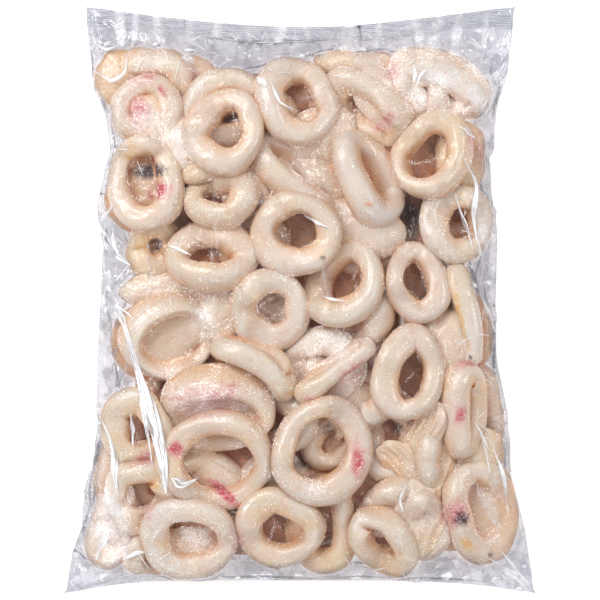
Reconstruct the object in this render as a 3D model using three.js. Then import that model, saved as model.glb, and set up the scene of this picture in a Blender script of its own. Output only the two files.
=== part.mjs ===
// A sealed clear pillow bag of frozen squid rings, lying on its back.
// Millimetres. +X right, +Y towards the ribbed top seal, +Z up; the bag lies on z = 0.
// The frozen heap fills the film, so bag and heap are one closed solid: its top follows the rings
// that press into the film, its sides pull in between four corners that stay out.

import * as THREE from "three";

// ---------- driving sizes ----------
const LENGTH = 331; // corner to corner along Y
const BOTTOM_WIDTH = 266; // between the two lower corners, the film's flat width
const TOP_WIDTH = 244; // between the two upper corners
const WAIST_WIDTH = 220; // across the filled middle
const BOTTOM_FLARE = { reach: 95, power: 1.3 }; // how far up the lower corners widen the bag
const TOP_FLARE = { reach: 75, power: 1.3 };
const TOP_SAG = { depth: 13, power: 1.7 }; // how far the seal's middle is drawn in
const BOTTOM_SAG = { depth: 8.5, power: 4 };

const HEAP_HEIGHT = 43; // smooth crown of the heap, before the rings' own relief
const HEAP_CENTRE_Y = -7;
const HEAP_HALF_LENGTH = 147;
const HEAP_END_POWER = 3.4; // squareness of the heap's two ends
const HEAP_SIDE_POWER = 3.6; // squareness of its two sides
const EDGE_HEIGHT = 15; // height of the widest line along the filled sides
const SIDE_RISE_POWER = 6; // how late the lower film turns up towards that line
const TIP_HEIGHT = 1.6; // height of the film at the corners and ends
const WELD_THICKNESS = 1.2; // the two sheets where they are welded, modelled stout

const SEAL_HEIGHT = 11; // the ribbed band at the top
const RIB_COUNT = 9;
const RIB_RISE = 0.35;
const SEAL_LIFT = 4.5; // how far the band's middle stands off the table

const RING_DIAMETER = 46; // typical outer size of a ring
const RING_BAND = 13; // width of its wall
const RING_RELIEF = 7.5; // how far a ring stands out of the heap
const RING_PITCH = 41; // spacing of neighbouring rings across
const RING_SHIFT = 9; // how far a ring strays from the regular spacing

const BASE_HALF_SPAN = 0.8; // part of the half width that lies flat on the table
const BASE_START = 0.07; // part of the length, from the bottom weld, where the flat base begins
const BASE_END = 0.9;

const COLUMNS = 44; // facets across the top
const ROWS = 54; // facets along the filled length
const FILM_COLOUR = 0xe3d3c3;

// Places where the side film is gathered into a pinch: height along Y, side, depth and length.
const PINCHES = [
  { y: 84, side: -1, depth: 4, span: 40 },
  { y: 2, side: -1, depth: 4, span: 44 },
  { y: -76, side: -1, depth: 3, span: 36 },
  { y: 84, side: 1, depth: 4.5, span: 60 },
  { y: -14, side: 1, depth: 2.5, span: 44 },
];

// ---------- small helpers ----------
const clamp01 = (value) => Math.min(1, Math.max(0, value));
const smooth = (value) => clamp01(value) ** 2 * (3 - 2 * clamp01(value));
const mix = (from, to, part) => from + (to - from) * part;

// A repeatable scatter in -1..1 for the ring in a given column and row; kind tells its uses apart.
function scatter(column, row, kind) {
  const wave = Math.sin(column * 12.9898 + row * 78.233 + kind * 37.719) * 43758.5453;
  return 2 * (wave - Math.floor(wave)) - 1;
}

// ---------- plan of the bag ----------
const edgeY = (across, sag) => LENGTH / 2 - sag.depth * (1 - Math.abs(across) ** sag.power);

function flare(distance, shape) {
  return clamp01(1 - distance / shape.reach) ** shape.power;
}

function halfWidth(y, side) {
  const waist = WAIST_WIDTH / 2;
  const lower = (BOTTOM_WIDTH / 2 - waist) * flare(y + LENGTH / 2, BOTTOM_FLARE);
  const upper = (TOP_WIDTH / 2 - waist) * flare(LENGTH / 2 - y, TOP_FLARE);
  let width = waist + lower + upper;
  for (const pinch of PINCHES) {
    const near = clamp01(1 - Math.abs(y - pinch.y) / (pinch.span / 2));
    width -= pinch.side === side ? pinch.depth * smooth(near) : 0;
  }
  return width;
}

// Plan position of a point given across (-1 left .. 1 right) and along (0 bottom .. 1 top).
function plan(across, along) {
  const y = mix(-edgeY(across, BOTTOM_SAG), edgeY(across, TOP_SAG), along);
  return { x: across * halfWidth(y, Math.sign(across)), y };
}

// ---------- relief of the rings under the film ----------
const rings = [];
const ringRows = Math.ceil((2 * HEAP_HALF_LENGTH) / RING_PITCH) + 1;
const ringColumns = Math.ceil(WAIST_WIDTH / RING_PITCH) + 1;
for (let row = 0; row < ringRows; row += 1) {
  for (let column = 0; column < ringColumns; column += 1) {
    const stagger = row % 2 === 0 ? 0 : RING_PITCH / 2;
    rings.push({
      x: (column - (ringColumns - 1) / 2) * RING_PITCH + stagger - RING_PITCH / 4
        + RING_SHIFT * scatter(column, row, 1),
      y: HEAP_CENTRE_Y + (row - (ringRows - 1) / 2) * RING_PITCH + RING_SHIFT * scatter(column, row, 2),
      radius: (RING_DIAMETER - RING_BAND) / 2 + 1.5 * scatter(column, row, 3),
      stretch: 1 + 0.22 * scatter(column, row, 4),
      turn: Math.PI * scatter(column, row, 5),
      rise: RING_RELIEF * (0.75 + 0.25 * scatter(column, row, 6)),
    });
  }
}

// Height that the highest ring over a point adds to the heap.
function ringRelief(x, y) {
  let relief = 0;
  for (const ring of rings) {
    const dx = x - ring.x;
    const dy = y - ring.y;
    const along = (dx * Math.cos(ring.turn) + dy * Math.sin(ring.turn)) / ring.stretch;
    const across = (dy * Math.cos(ring.turn) - dx * Math.sin(ring.turn)) * ring.stretch;
    const fromWall = Math.abs(Math.hypot(along, across) - ring.radius) / (RING_BAND * 0.62);
    relief = Math.max(relief, ring.rise * Math.sqrt(Math.max(0, 1 - fromWall ** 2)));
  }
  return relief;
}

// ---------- heights ----------
const inSeal = (y, across) => y > edgeY(across, TOP_SAG) - SEAL_HEIGHT;

// Fullness of the heap, 1 in the middle and 0 at its ends.
function endFullness(y) {
  const reach = Math.abs((y - HEAP_CENTRE_Y) / HEAP_HALF_LENGTH);
  return Math.sqrt(Math.max(0, 1 - reach ** HEAP_END_POWER));
}

// Height of the line where the top film and the bottom film meet.
function seamHeight(across, y) {
  const full = smooth(endFullness(y) * 1.15);
  const sealPart = smooth((y - (LENGTH / 2 - 45)) / 30);
  const lift = SEAL_LIFT * sealPart * (1 - across ** 2);
  return TIP_HEIGHT + lift + (EDGE_HEIGHT - TIP_HEIGHT) * full * Math.abs(across) ** SIDE_RISE_POWER;
}

function topHeight(across, x, y) {
  const seam = seamHeight(across, y) + WELD_THICKNESS / 2;
  if (inSeal(y, across)) return seam;
  const sides = Math.sqrt(Math.max(0, 1 - Math.abs(across) ** HEAP_SIDE_POWER));
  const crown = sides * endFullness(y);
  return seam + (HEAP_HEIGHT - TIP_HEIGHT) * crown + ringRelief(x, y) * smooth(crown * 1.3);
}

function bottomHeight(across, along, y) {
  const seam = seamHeight(across, y) - WELD_THICKNESS / 2;
  const sidePart = clamp01((Math.abs(across) - BASE_HALF_SPAN) / (1 - BASE_HALF_SPAN));
  const lowerPart = clamp01((BASE_START - along) / BASE_START);
  const upperPart = clamp01((along - BASE_END) / (1 - BASE_END));
  const away = clamp01(Math.hypot(sidePart ** 1.7, smooth(lowerPart * 1.4), smooth(upperPart * 1.25)));
  return seam * away;
}

// ---------- rows of the skin ----------
// The rows are closer in the ribbed seal, where every rib is a ridge between two hollows.
const sealStart = 1 - SEAL_HEIGHT / (LENGTH - TOP_SAG.depth - BOTTOM_SAG.depth);
const stations = [];
for (let row = 0; row < ROWS; row += 1) stations.push({ along: (row / ROWS) * sealStart, rib: 0 });
for (let step = 0; step <= 2 * RIB_COUNT; step += 1) {
  stations.push({ along: mix(sealStart, 1, step / (2 * RIB_COUNT)), rib: (step % 2) * RIB_RISE });
}

// Steps across the top, from right to left, closer together towards the steep sides.
const SIDE_CROWDING = 0.94; // 0 for even steps, up to 1
const bend = (Math.PI / 2) * SIDE_CROWDING;
const topSteps = Array.from(
  { length: COLUMNS + 1 },
  (_, k) => Math.sin((1 - (2 * k) / COLUMNS) * bend) / Math.sin(bend),
);

// The base has few steps, because its flat middle is one face wide.
const baseSteps = [-1, -0.96, -0.91, -0.86, -BASE_HALF_SPAN, BASE_HALF_SPAN, 0.86, 0.91, 0.96, 1];

const positions = [];
function addPoint(x, y, z) {
  positions.push(x, y, z);
  return positions.length / 3 - 1;
}

const topRows = [];
const baseRows = [];
for (const { along, rib } of stations) {
  topRows.push(topSteps.map((across) => {
    const { x, y } = plan(across, along);
    return addPoint(x, y, topHeight(across, x, y) + rib);
  }));
  baseRows.push(baseSteps.map((across) => {
    const { x, y } = plan(across, along);
    return addPoint(x, y, bottomHeight(across, along, y));
  }));
}

// ---------- faces ----------
const faces = [];

// A strip between two rows of the same number of points.
function joinRows(near, far) {
  for (let k = 0; k + 1 < near.length; k += 1) {
    faces.push(near[k], far[k], near[k + 1], near[k + 1], far[k], far[k + 1]);
  }
}

// A thin end wall between the top row (right to left) and the base row (left to right).
function closeEnd(topRow, baseRow, flip) {
  const lower = [...baseRow].reverse();
  let i = 0;
  let j = 0;
  while (i + 1 < topRow.length || j + 1 < lower.length) {
    const topNext = i + 1 < topRow.length ? positions[3 * topRow[i + 1]] : -Infinity;
    const lowNext = j + 1 < lower.length ? positions[3 * lower[j + 1]] : -Infinity;
    const stepTop = topNext >= lowNext;
    const corner = stepTop ? [topRow[i], topRow[i + 1], lower[j]] : [topRow[i], lower[j + 1], lower[j]];
    faces.push(...(flip ? corner.reverse() : corner));
    if (stepTop) i += 1;
    else j += 1;
  }
}

for (let row = 0; row + 1 < stations.length; row += 1) {
  joinRows(topRows[row], topRows[row + 1]);
  joinRows(baseRows[row], baseRows[row + 1]);
  const rightSide = [baseRows[row].at(-1), topRows[row][0]];
  const nextRight = [baseRows[row + 1].at(-1), topRows[row + 1][0]];
  joinRows(rightSide, nextRight);
  const leftSide = [topRows[row].at(-1), baseRows[row][0]];
  const nextLeft = [topRows[row + 1].at(-1), baseRows[row + 1][0]];
  joinRows(leftSide, nextLeft);
}
closeEnd(topRows[0], baseRows[0], false);
closeEnd(topRows.at(-1), baseRows.at(-1), true);

const skin = new THREE.BufferGeometry();
skin.setAttribute("position", new THREE.Float32BufferAttribute(positions, 3));
skin.setIndex(faces);

// ---------- the part ----------
const bag = new THREE.Mesh(
  skin,
  new THREE.MeshStandardMaterial({ color: FILM_COLOUR, roughness: 0.25, metalness: 0, flatShading: true }),
);
bag.name = "bag";

const part = new THREE.Group();
part.add(bag);

export default part;
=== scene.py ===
"""A clear sealed bag of frozen squid rings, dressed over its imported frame.

The rings are laid down one by one, from the table up, and each settles on what already lies below it.
The bag's film is then drawn over the heap, and frost, creases and the ribbed seal are added last.
Lengths are in millimetres until a mesh is made, which is in metres.
"""

import logging
from collections.abc import Callable
from dataclasses import dataclass, field, replace
from enum import Enum
from functools import partial
from math import cos, radians, sin

import bpy
import numpy as np
from bpy.types import ID, Material, Mesh, Node, NodeSocket, NodeTree, Object
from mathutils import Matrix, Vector
from mathutils.bvhtree import BVHTree
from numpy import concatenate as join
from numpy import ndarray as Array
from numpy.linalg import norm


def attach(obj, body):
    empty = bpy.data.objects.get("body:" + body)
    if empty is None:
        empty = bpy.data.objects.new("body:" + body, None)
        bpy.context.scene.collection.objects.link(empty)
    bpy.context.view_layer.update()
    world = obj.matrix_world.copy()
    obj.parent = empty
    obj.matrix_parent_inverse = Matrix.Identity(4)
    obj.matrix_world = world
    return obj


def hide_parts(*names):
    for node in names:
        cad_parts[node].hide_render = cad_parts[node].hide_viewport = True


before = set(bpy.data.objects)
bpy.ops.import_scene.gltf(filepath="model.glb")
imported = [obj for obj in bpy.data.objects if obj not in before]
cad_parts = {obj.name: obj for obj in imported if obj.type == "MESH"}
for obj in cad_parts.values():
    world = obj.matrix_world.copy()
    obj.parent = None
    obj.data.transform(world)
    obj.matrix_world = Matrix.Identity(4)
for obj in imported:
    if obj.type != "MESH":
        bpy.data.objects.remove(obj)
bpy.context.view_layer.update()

log = logging.getLogger("squid_bag")

MM = 0.001
TURN = 2.0 * np.pi
ANY_PHASE = 6.28  # where a chance phase ends, nearly a turn
BODY = "root"
NODE = "bag"
Pair = tuple[float, float]
Triple = tuple[float, float, float]
Colour = Triple
Arrays = tuple[Array, Array]


def ease(value: Array) -> Array:
    """Returns a smooth step of values clipped to 0..1."""
    clipped = np.clip(value, 0.0, 1.0)
    return clipped * clipped * (3.0 - 2.0 * clipped)


def ramp(value: Array, start: float, span: float) -> Array:
    """Returns how far values have come along a span, 0 to 1."""
    return np.clip((value - start) / span, 0.0, 1.0)


def unturned(x: Array, y: Array, degrees: float) -> Arrays:
    """Measures plan places along both of two axes that are turned anticlockwise by degrees."""
    turn = radians(degrees)
    return x * cos(turn) + y * sin(turn), y * cos(turn) - x * sin(turn)


def around(values: Array, reach: int) -> Array:
    """Smooths values that run round a closed loop.

    Args:
        values: One number for each step of the loop.
        reach: How many steps the bell-shaped window spans on each side.

    Returns:
        The smoothed numbers.
    """
    steps = np.arange(-reach, reach + 1)
    window = 0.5 + 0.5 * np.cos(np.pi * steps / (reach + 1))
    window /= window.sum()
    return sum(weight * np.roll(values, step) for step, weight in zip(steps, window))


def quads(rows: int, columns: int, close_rows: bool, close_columns: bool) -> Array:
    """Lists the faces of a grid of points.

    Args:
        rows: Number of rows of points.
        columns: Number of points in a row.
        close_rows: Whether the last row joins the first.
        close_columns: Whether each row's last point joins its first.

    Returns:
        The faces, four point numbers each.
    """
    down = np.arange(rows if close_rows else rows - 1)
    along = np.arange(columns if close_columns else columns - 1)
    row, column = (part.ravel() for part in np.meshgrid(down, along, indexing="ij"))
    below, beside = (row + 1) % rows, (column + 1) % columns
    corners = (row * columns + column, below * columns + column)
    far = (below * columns + beside, row * columns + beside)
    return np.stack((*corners, *far), axis=1)


def make_piece(name: str, points: Array, *faces: Array, finish: Material | None = None) -> Object:
    """Makes one smooth-shaded object at the origin.

    Args:
        name: The object's name.
        points: Places in millimetres, one row of three for each point.
        *faces: Arrays of point numbers, one row for each face.
        finish: Its material.

    Returns:
        The object, linked to the scene.
    """
    mesh = bpy.data.meshes.new(name)
    corners = join([part.ravel() for part in faces])
    sizes = join([np.full(len(part), part.shape[1]) for part in faces])
    mesh.vertices.add(len(points))
    mesh.vertices.foreach_set("co", (points * MM).astype(np.float32).ravel())
    mesh.loops.add(len(corners))
    mesh.loops.foreach_set("vertex_index", corners.astype(np.int32))
    mesh.polygons.add(len(sizes))
    mesh.polygons.foreach_set("loop_start", (np.cumsum(sizes) - sizes).astype(np.int32))
    mesh.update(calc_edges=True)
    mesh.polygons.foreach_set("use_smooth", np.ones(len(sizes), dtype=bool))
    if finish:
        mesh.materials.append(finish)
    return show(name, mesh)


def show(name: str, data: ID) -> Object:
    """Puts a mesh, a lamp or a camera in the scene.

    Args:
        name: The object's name.
        data: What it shows.

    Returns:
        The object.
    """
    made = bpy.data.objects.new(name, data)
    bpy.context.scene.collection.objects.link(made)
    return made


def paint(piece: Object, name: str, channels: Array) -> None:
    """Stores four numbers for each point, which materials read by name."""
    layer = piece.data.color_attributes.new(name, "FLOAT_COLOR", "POINT")
    layer.data.foreach_set("color", channels.astype(np.float32).ravel())


def note(mesh: Mesh, name: str, values: Array) -> None:
    """Stores one number for each point, which a node tree reads by name."""
    layer = mesh.attributes.new(name, "FLOAT", "POINT")
    layer.data.foreach_set("value", values.astype(np.float32))


class Gathered:
    """Parts that become one piece."""

    def __init__(self) -> None:
        """Starts empty."""
        self.points, self.sides, self.corners, self.marks, self.count = [], [], [], [], 0

    def add(self, points: Array, sides: Array, corners: list | Array, *marks: Array) -> None:
        """Adds one part.

        Args:
            points: Its places in millimetres.
            sides: Its four-sided faces.
            corners: Its other faces.
            *marks: Channels for its points, one array for each attribute.
        """
        self.points.append(points)
        self.sides.append(sides + self.count)
        self.corners.extend(face + self.count for face in corners)
        self.marks.append(marks)
        self.count += len(points)

    def make(self, name: str, finish: Material | None, *labels: str) -> Object:
        """Joins the parts and paints them with their channels.

        Args:
            name: The piece's name.
            finish: Its material.
            *labels: The attributes' names, in the order of the parts' channels.

        Returns:
            The piece.
        """
        faces = [join(self.sides), *([np.array(self.corners)] if self.corners else [])]
        piece = make_piece(name, join(self.points), *faces, finish=finish)
        for label, parts in zip(labels, zip(*self.marks)):
            paint(piece, label, join(parts))
        return piece


class Wiring:
    """Adds nodes to one tree and links them."""

    def __init__(self, tree: NodeTree) -> None:
        """Keeps the tree and starts it empty."""
        self.tree = tree
        tree.nodes.clear()

    def add(self, kind: str, inputs: dict | None = None, **settings: object) -> Node:
        """Adds a node.

        Args:
            kind: The node's type.
            inputs: A value or a socket for each input, by name or number.
            **settings: The node's own properties.

        Returns:
            The node.
        """
        node = self.tree.nodes.new(kind)
        for key, value in settings.items():
            setattr(node, key, value)
        for key, value in (inputs or {}).items():
            self.set(node.inputs[key], value)
        return node

    def set(self, socket: NodeSocket, value: object) -> None:
        """Links a socket or sets its value.

        Args:
            socket: A node's input.
            value: Another node's output, or a plain value.
        """
        if isinstance(value, NodeSocket):
            self.tree.links.new(value, socket)
        elif socket.type == "RGBA" and len(value) == 3:
            socket.default_value = (*value, 1.0)
        else:
            socket.default_value = value

    def math(self, operation: str, *values: object, clamp: bool = False) -> NodeSocket:
        """Adds a Math node over one to three numbers or sockets."""
        inputs = dict(enumerate(values))
        return self.add("ShaderNodeMath", inputs, operation=operation, use_clamp=clamp).outputs[0]

    def times(self, first: object, second: object, clamp: bool = False) -> NodeSocket:
        """Multiplies two numbers or sockets."""
        return self.math("MULTIPLY", first, second, clamp=clamp)

    def vector(self, operation: str, first: object, second: object, output: int = 0) -> NodeSocket:
        """Adds a Vector Math node over a vector and a vector or number."""
        inputs = {0: first, 3 if operation == "SCALE" else 1: second}
        return self.add("ShaderNodeVectorMath", inputs, operation=operation).outputs[output]

    def blend(self, share: object, first: object, second: object) -> NodeSocket:
        """Mixes two colours or colour sockets, by the share of the second."""
        inputs = {0: share, 6: first, 7: second}
        return self.add("ShaderNodeMix", inputs, data_type="RGBA").outputs[2]

    def between(self, share: object, low: object, high: object) -> NodeSocket:
        """Mixes two numbers or sockets, by the share of the second."""
        inputs = {0: share, 2: low, 3: high}
        return self.add("ShaderNodeMix", inputs, data_type="FLOAT").outputs[0]

    def step(self, value: object, low: object, high: object) -> NodeSocket:
        """Adds a smooth step, which is 0 at low and 1 at high."""
        inputs = {0: value, 1: low, 2: high, 3: 0.0, 4: 1.0}
        return self.add("ShaderNodeMapRange", inputs, interpolation_type="SMOOTHSTEP").outputs[0]

    def channels(self, name: str) -> tuple[NodeSocket, ...]:
        """Reads a painted attribute.

        Args:
            name: The attribute's name.

        Returns:
            A socket for each of its four numbers.
        """
        source = self.add("ShaderNodeAttribute", attribute_name=name)
        parts = self.add("ShaderNodeSeparateColor", {0: source.outputs["Color"]})
        return (*parts.outputs[:3], source.outputs["Alpha"])

    def noise(self, scale: float, detail: float, at: object, warp: float = 0.0) -> NodeSocket:
        """Adds noise with so many waves in a metre and octaves of detail."""
        inputs = {"Vector": at, "Scale": scale, "Detail": detail, "Distortion": warp}
        return self.add("ShaderNodeTexNoise", inputs).outputs[0]

    def cells(self, scale: object, at: object) -> Node:
        """Adds cells with so many in a metre."""
        return self.add("ShaderNodeTexVoronoi", {"Vector": at, "Scale": scale, "Randomness": 1.0})

    def place(self) -> NodeSocket:
        """Reads the place on the object, in metres."""
        return self.add("ShaderNodeTexCoord").outputs["Object"]

    def use(self, group: NodeTree, **inputs: object) -> Node:
        """Places a shader group."""
        return self.add("ShaderNodeGroup", inputs, node_tree=group)

    def bump(self, height: object, distance: float, strength: float = 1.0) -> NodeSocket:
        """Turns a height into a normal."""
        inputs = {"Height": height, "Distance": distance, "Strength": strength}
        return self.add("ShaderNodeBump", inputs).outputs[0]

    def cover(self, share: object, under: Node, upper: Node) -> Node:
        """Lays a share of one shader over another."""
        return self.add("ShaderNodeMixShader", {0: share, 1: under.outputs[0], 2: upper.outputs[0]})


def new_group(name: str, inputs: dict[str, float], outputs: tuple[str, ...]) -> tuple:
    """Starts a shader node group with named number sockets.

    Args:
        name: The group's name.
        inputs: Default value for each input.
        outputs: Names of the outputs.

    Returns:
        The group, its wiring, and its input node.
    """
    group = bpy.data.node_groups.new(name, "ShaderNodeTree")
    wiring = Wiring(group)
    for label, value in inputs.items():
        socket = group.interface.new_socket(label, in_out="INPUT", socket_type="NodeSocketFloat")
        socket.default_value = value
    for label in outputs:
        group.interface.new_socket(label, in_out="OUTPUT", socket_type="NodeSocketFloat")
    return group, wiring, wiring.add("NodeGroupInput")


@dataclass
class Effects:
    """The shader groups, each built once. Their scales count waves or cells in a metre."""

    rime_patches: float = 75.0
    rime_crystals: float = 1100.0
    crust_share: float = 0.8
    broad_patches: float = 38.0
    fine_patches: float = 210.0
    skin_grain: float = 420.0
    film_waves: float = 30.0
    wave_height: float = 12 * MM
    second_facets: float = 2.6  # how much finer the second net of facets is
    rare_glint: float = 0.93  # chance above which a facet is painted white as a glint

    def __post_init__(self) -> None:
        """Builds the groups."""
        self.frost = self._frost()
        self.mottle = self._mottle()
        self.crumple = self._crumple()

    def _frost(self) -> NodeTree:
        """Builds rime: separate ice specks where there is little, a white crust where there is much.

        Returns:
            A group with inputs Cover and Grain, and outputs Mask and Height.
        """
        group, nodes, given = new_group("rime", {"Cover": 0.3, "Grain": 1250.0}, ("Mask", "Height"))
        at = nodes.place()
        cover, grain, _ = given.outputs
        specks = nodes.cells(grain, at)
        chance = nodes.add("ShaderNodeSeparateColor", {0: specks.outputs["Color"]}).outputs[0]
        patches = nodes.noise(self.rime_patches, 3.0, at)
        local = nodes.times(cover, nodes.between(patches, 0.25, 1.75))
        chosen = nodes.math("GREATER_THAN", nodes.times(local, 1.1), chance)
        dot = nodes.step(specks.outputs["Distance"], 0.6, 0.15)
        dots = nodes.times(nodes.times(chosen, dot), nodes.between(chance, 1.0, 0.35))
        crystal = nodes.noise(self.rime_crystals, 5.0, at, 0.8)
        crust = nodes.step(nodes.math("ADD", nodes.times(local, 0.6), crystal), 0.72, 1.25)
        mask = nodes.math("MAXIMUM", dots, nodes.times(crust, self.crust_share), clamp=True)
        height = nodes.times(mask, nodes.between(crystal, 0.5, 1.5))
        nodes.add("NodeGroupOutput", {"Mask": mask, "Height": height})
        return group

    def _mottle(self) -> NodeTree:
        """Builds the uneven tone of raw flesh and its faint skin relief.

        Returns:
            A group with input Size, and outputs Broad, Fine and Height.
        """
        group, nodes, given = new_group("flesh_mottle", {"Size": 1.0}, ("Broad", "Fine", "Height"))
        at = nodes.vector("SCALE", nodes.place(), given.outputs["Size"])
        broad = nodes.noise(self.broad_patches, 2.0, at, 0.4)
        fine = nodes.noise(self.fine_patches, 5.0, at, 0.8)
        skin = nodes.noise(self.skin_grain, 3.0, at)
        nodes.add("NodeGroupOutput", {
            "Broad": nodes.step(broad, 0.32, 0.68),
            "Fine": nodes.step(fine, 0.35, 0.7),
            "Height": nodes.between(0.5, fine, skin),
        })
        return group

    def _crumple(self) -> NodeTree:
        """Builds the flat facets and hard creases of crumpled film.

        Returns:
            A group with inputs Cells, in each metre, and Slope, and outputs Height in metres, Shade, which is
            one chance value for each facet and becomes painted shading, and Glint, which is 1 on the few
            facets that are painted as glints.
        """
        labels = "Height", "Shade", "Glint"
        group, nodes, given = new_group("crumple", {"Cells": 90.0, "Slope": 0.5}, labels)
        spot = nodes.place()
        waves = {"Vector": spot, "Scale": self.film_waves, "Detail": 2.0}
        bend = nodes.add("ShaderNodeTexNoise", waves).outputs["Color"]
        at = nodes.vector("ADD", spot, nodes.vector("SCALE", bend, self.wave_height))
        total, shade = None, None
        for finer in (1.0, self.second_facets):
            cell = nodes.cells(nodes.times(given.outputs["Cells"], finer), at)
            middle, chance = cell.outputs["Position"], cell.outputs["Color"]
            lean = nodes.vector("SUBTRACT", chance, (0.5, 0.5, 0.5))
            height = nodes.vector("DOT_PRODUCT", lean, nodes.vector("SUBTRACT", at, middle), output=1)
            total = height if total is None else nodes.math("ADD", total, height)
            red, green, _ = nodes.add("ShaderNodeSeparateColor", {0: chance}).outputs
            shade = red if shade is None else nodes.between(0.45, shade, red)
        chosen = nodes.math("GREATER_THAN", green, self.rare_glint)
        painted_glint = nodes.times(chosen, nodes.step(height, -0.5 * MM, 0.3 * MM))
        height = nodes.times(total, given.outputs["Slope"])
        nodes.add("NodeGroupOutput", {"Height": height, "Shade": shade, "Glint": painted_glint})
        return group


@dataclass(frozen=True)
class Finish:
    """What all finishes share: each adds its own nodes, which end in one shader."""

    name: str = "finish"

    def shade(self, nodes: Wiring, effects: Effects) -> Node:
        """Adds the finish's nodes and returns the last shader."""
        raise NotImplementedError

    def material(self, effects: Effects) -> Material:
        """Builds the material.

        Args:
            effects: The shared shader groups.

        Returns:
            The material.
        """
        made = bpy.data.materials.new(self.name)
        made.use_nodes = True
        made.cycles.emission_sampling = "NONE"
        nodes = Wiring(made.node_tree)
        nodes.add("ShaderNodeOutputMaterial", {0: self.shade(nodes, effects).outputs[0]})
        return made


@dataclass(frozen=True)
class FleshFinish(Finish):
    """Frozen raw squid: cream, with painted shade that turns it tan down a ring's sides and in its hollow,
    and brown deep in the heap where light hardly reaches.
    """

    name: str = "squid_flesh"
    pale: Colour = (0.68, 0.64, 0.605)
    warm: Colour = (0.67, 0.515, 0.33)
    rosy: Colour = (0.655, 0.495, 0.40)
    # Painted shade: flank colours a ring's sides below its top, hollow its inner wall, and deep the flesh low
    # in the heap; hollow also tints the fine freckles.
    flank: Colour = (0.67, 0.35, 0.145)
    hollow: Colour = (0.80, 0.37, 0.12)
    deep: Colour = (0.86, 0.24, 0.06)
    pink: Colour = (0.74, 0.40, 0.36)
    red: Colour = (0.50, 0.06, 0.08)
    ink: Colour = (0.045, 0.012, 0.02)
    amber: Colour = (0.72, 0.40, 0.12)
    ice: Colour = (0.92, 0.88, 0.865)
    hollow_share: float = 0.75
    flank_share: float = 0.8
    patchiness: float = 0.45  # how much the broad patches warm it
    freckles: float = 0.12  # how much the fine ones darken it
    pink_share: float = 0.75
    ice_share: float = 0.8
    stain_edge: Pair = (0.2, 1.2)
    fray: float = 0.35  # how ragged a stain's edge is
    roughness: float = 0.3
    icy_roughness: float = 0.7
    glaze: float = 0.33
    glaze_roughness: float = 0.1
    softness: float = 0.4
    glow: Triple = (1.0, 0.6, 0.35)  # how far each colour spreads, as shares of the depth
    glow_depth: float = 3.5 * MM
    relief: float = 0.35 * MM
    skin_share: float = 0.35
    bump: float = 0.7  # strength of the relief

    def shade(self, nodes: Wiring, effects: Effects) -> Node:
        """Reads the points' attributes "flesh", "marks" and "side".

        Args:
            nodes: The material's nodes.
            effects: The shared shader groups.

        Returns:
            The last shader.
        """
        tone, inner, depth, rime = nodes.channels("flesh")
        red, ink, amber, rosy = nodes.channels("marks")
        down = nodes.channels("side")[0]
        broad, fine, skin = nodes.use(effects.mottle).outputs
        white, crust = nodes.use(effects.frost, Cover=rime).outputs

        warmth = nodes.math("ADD", nodes.times(broad, self.patchiness), tone, clamp=True)
        colour = nodes.blend(warmth, self.pale, self.warm)
        blush = nodes.times(rosy, nodes.between(broad, 1.0, 0.2), clamp=True)
        colour = nodes.blend(nodes.times(fine, self.freckles), colour, self.hollow)
        colour = nodes.blend(blush, colour, self.rosy)
        # Painted shade: tan down the wall's sides and in the hollow, brown deep in the heap.
        colour = nodes.blend(nodes.times(down, self.flank_share), colour, self.flank)
        colour = nodes.blend(nodes.times(inner, self.hollow_share), colour, self.hollow)
        colour = nodes.blend(nodes.times(depth, 1.25, clamp=True), colour, self.hollow)
        colour = nodes.blend(nodes.times(depth, depth), colour, self.deep)
        colour = nodes.blend(nodes.times(red, self.pink_share), colour, self.pink)
        for mark, stain in ((amber, self.amber), (red, self.red), (ink, self.ink)):
            frayed = nodes.math("ADD", mark, nodes.times(fine, self.fray))
            colour = nodes.blend(nodes.step(frayed, *self.stain_edge), colour, stain)
        colour = nodes.blend(nodes.times(white, self.ice_share), colour, self.ice)
        height = nodes.math("ADD", nodes.times(skin, self.skin_share), crust)
        return nodes.add("ShaderNodeBsdfPrincipled", {
            "Base Color": colour,
            "Roughness": nodes.between(white, self.roughness, self.icy_roughness),
            "Normal": nodes.bump(height, self.relief, self.bump),
            "Subsurface Weight": self.softness,
            "Subsurface Radius": self.glow,
            "Subsurface Scale": self.glow_depth,
            "Coat Weight": nodes.between(white, self.glaze, 0.0),
            "Coat Roughness": self.glaze_roughness,
        }, subsurface_method="BURLEY")


@dataclass(frozen=True)
class GlazeFinish(Finish):
    """The frozen mass deep in the heap: tan and brown under rime, its darkness partly painted shade of the
    deep gaps.
    """

    name: str = "frozen_mass"
    # Painted shade in part: dark and brown stand for the shade deep between the rings.
    dark: Colour = (0.60, 0.23, 0.11)
    brown: Colour = (0.78, 0.45, 0.28)
    ink: Colour = (0.05, 0.015, 0.025)
    ice: Colour = (0.92, 0.84, 0.80)
    rime: float = 0.5
    rime_on_ink: float = 0.35
    roughness: float = 0.4
    icy_roughness: float = 0.7
    relief: float = 0.8 * MM

    def shade(self, nodes: Wiring, effects: Effects) -> Node:
        """Reads the points' attribute "marks".

        Args:
            nodes: The material's nodes.
            effects: The shared shader groups.

        Returns:
            The last shader.
        """
        broad, _, _ = nodes.use(effects.mottle).outputs
        white, crust = nodes.use(effects.frost, Cover=self.rime).outputs
        ink = nodes.channels("marks")[Tint.INK.value]
        colour = nodes.blend(ink, nodes.blend(broad, self.dark, self.brown), self.ink)
        icy = nodes.times(white, nodes.between(ink, 1.0, self.rime_on_ink))
        return nodes.add("ShaderNodeBsdfPrincipled", {
            "Base Color": nodes.blend(icy, colour, self.ice),
            "Roughness": nodes.between(white, self.roughness, self.icy_roughness),
            "Normal": nodes.bump(crust, self.relief),
        })


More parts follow.
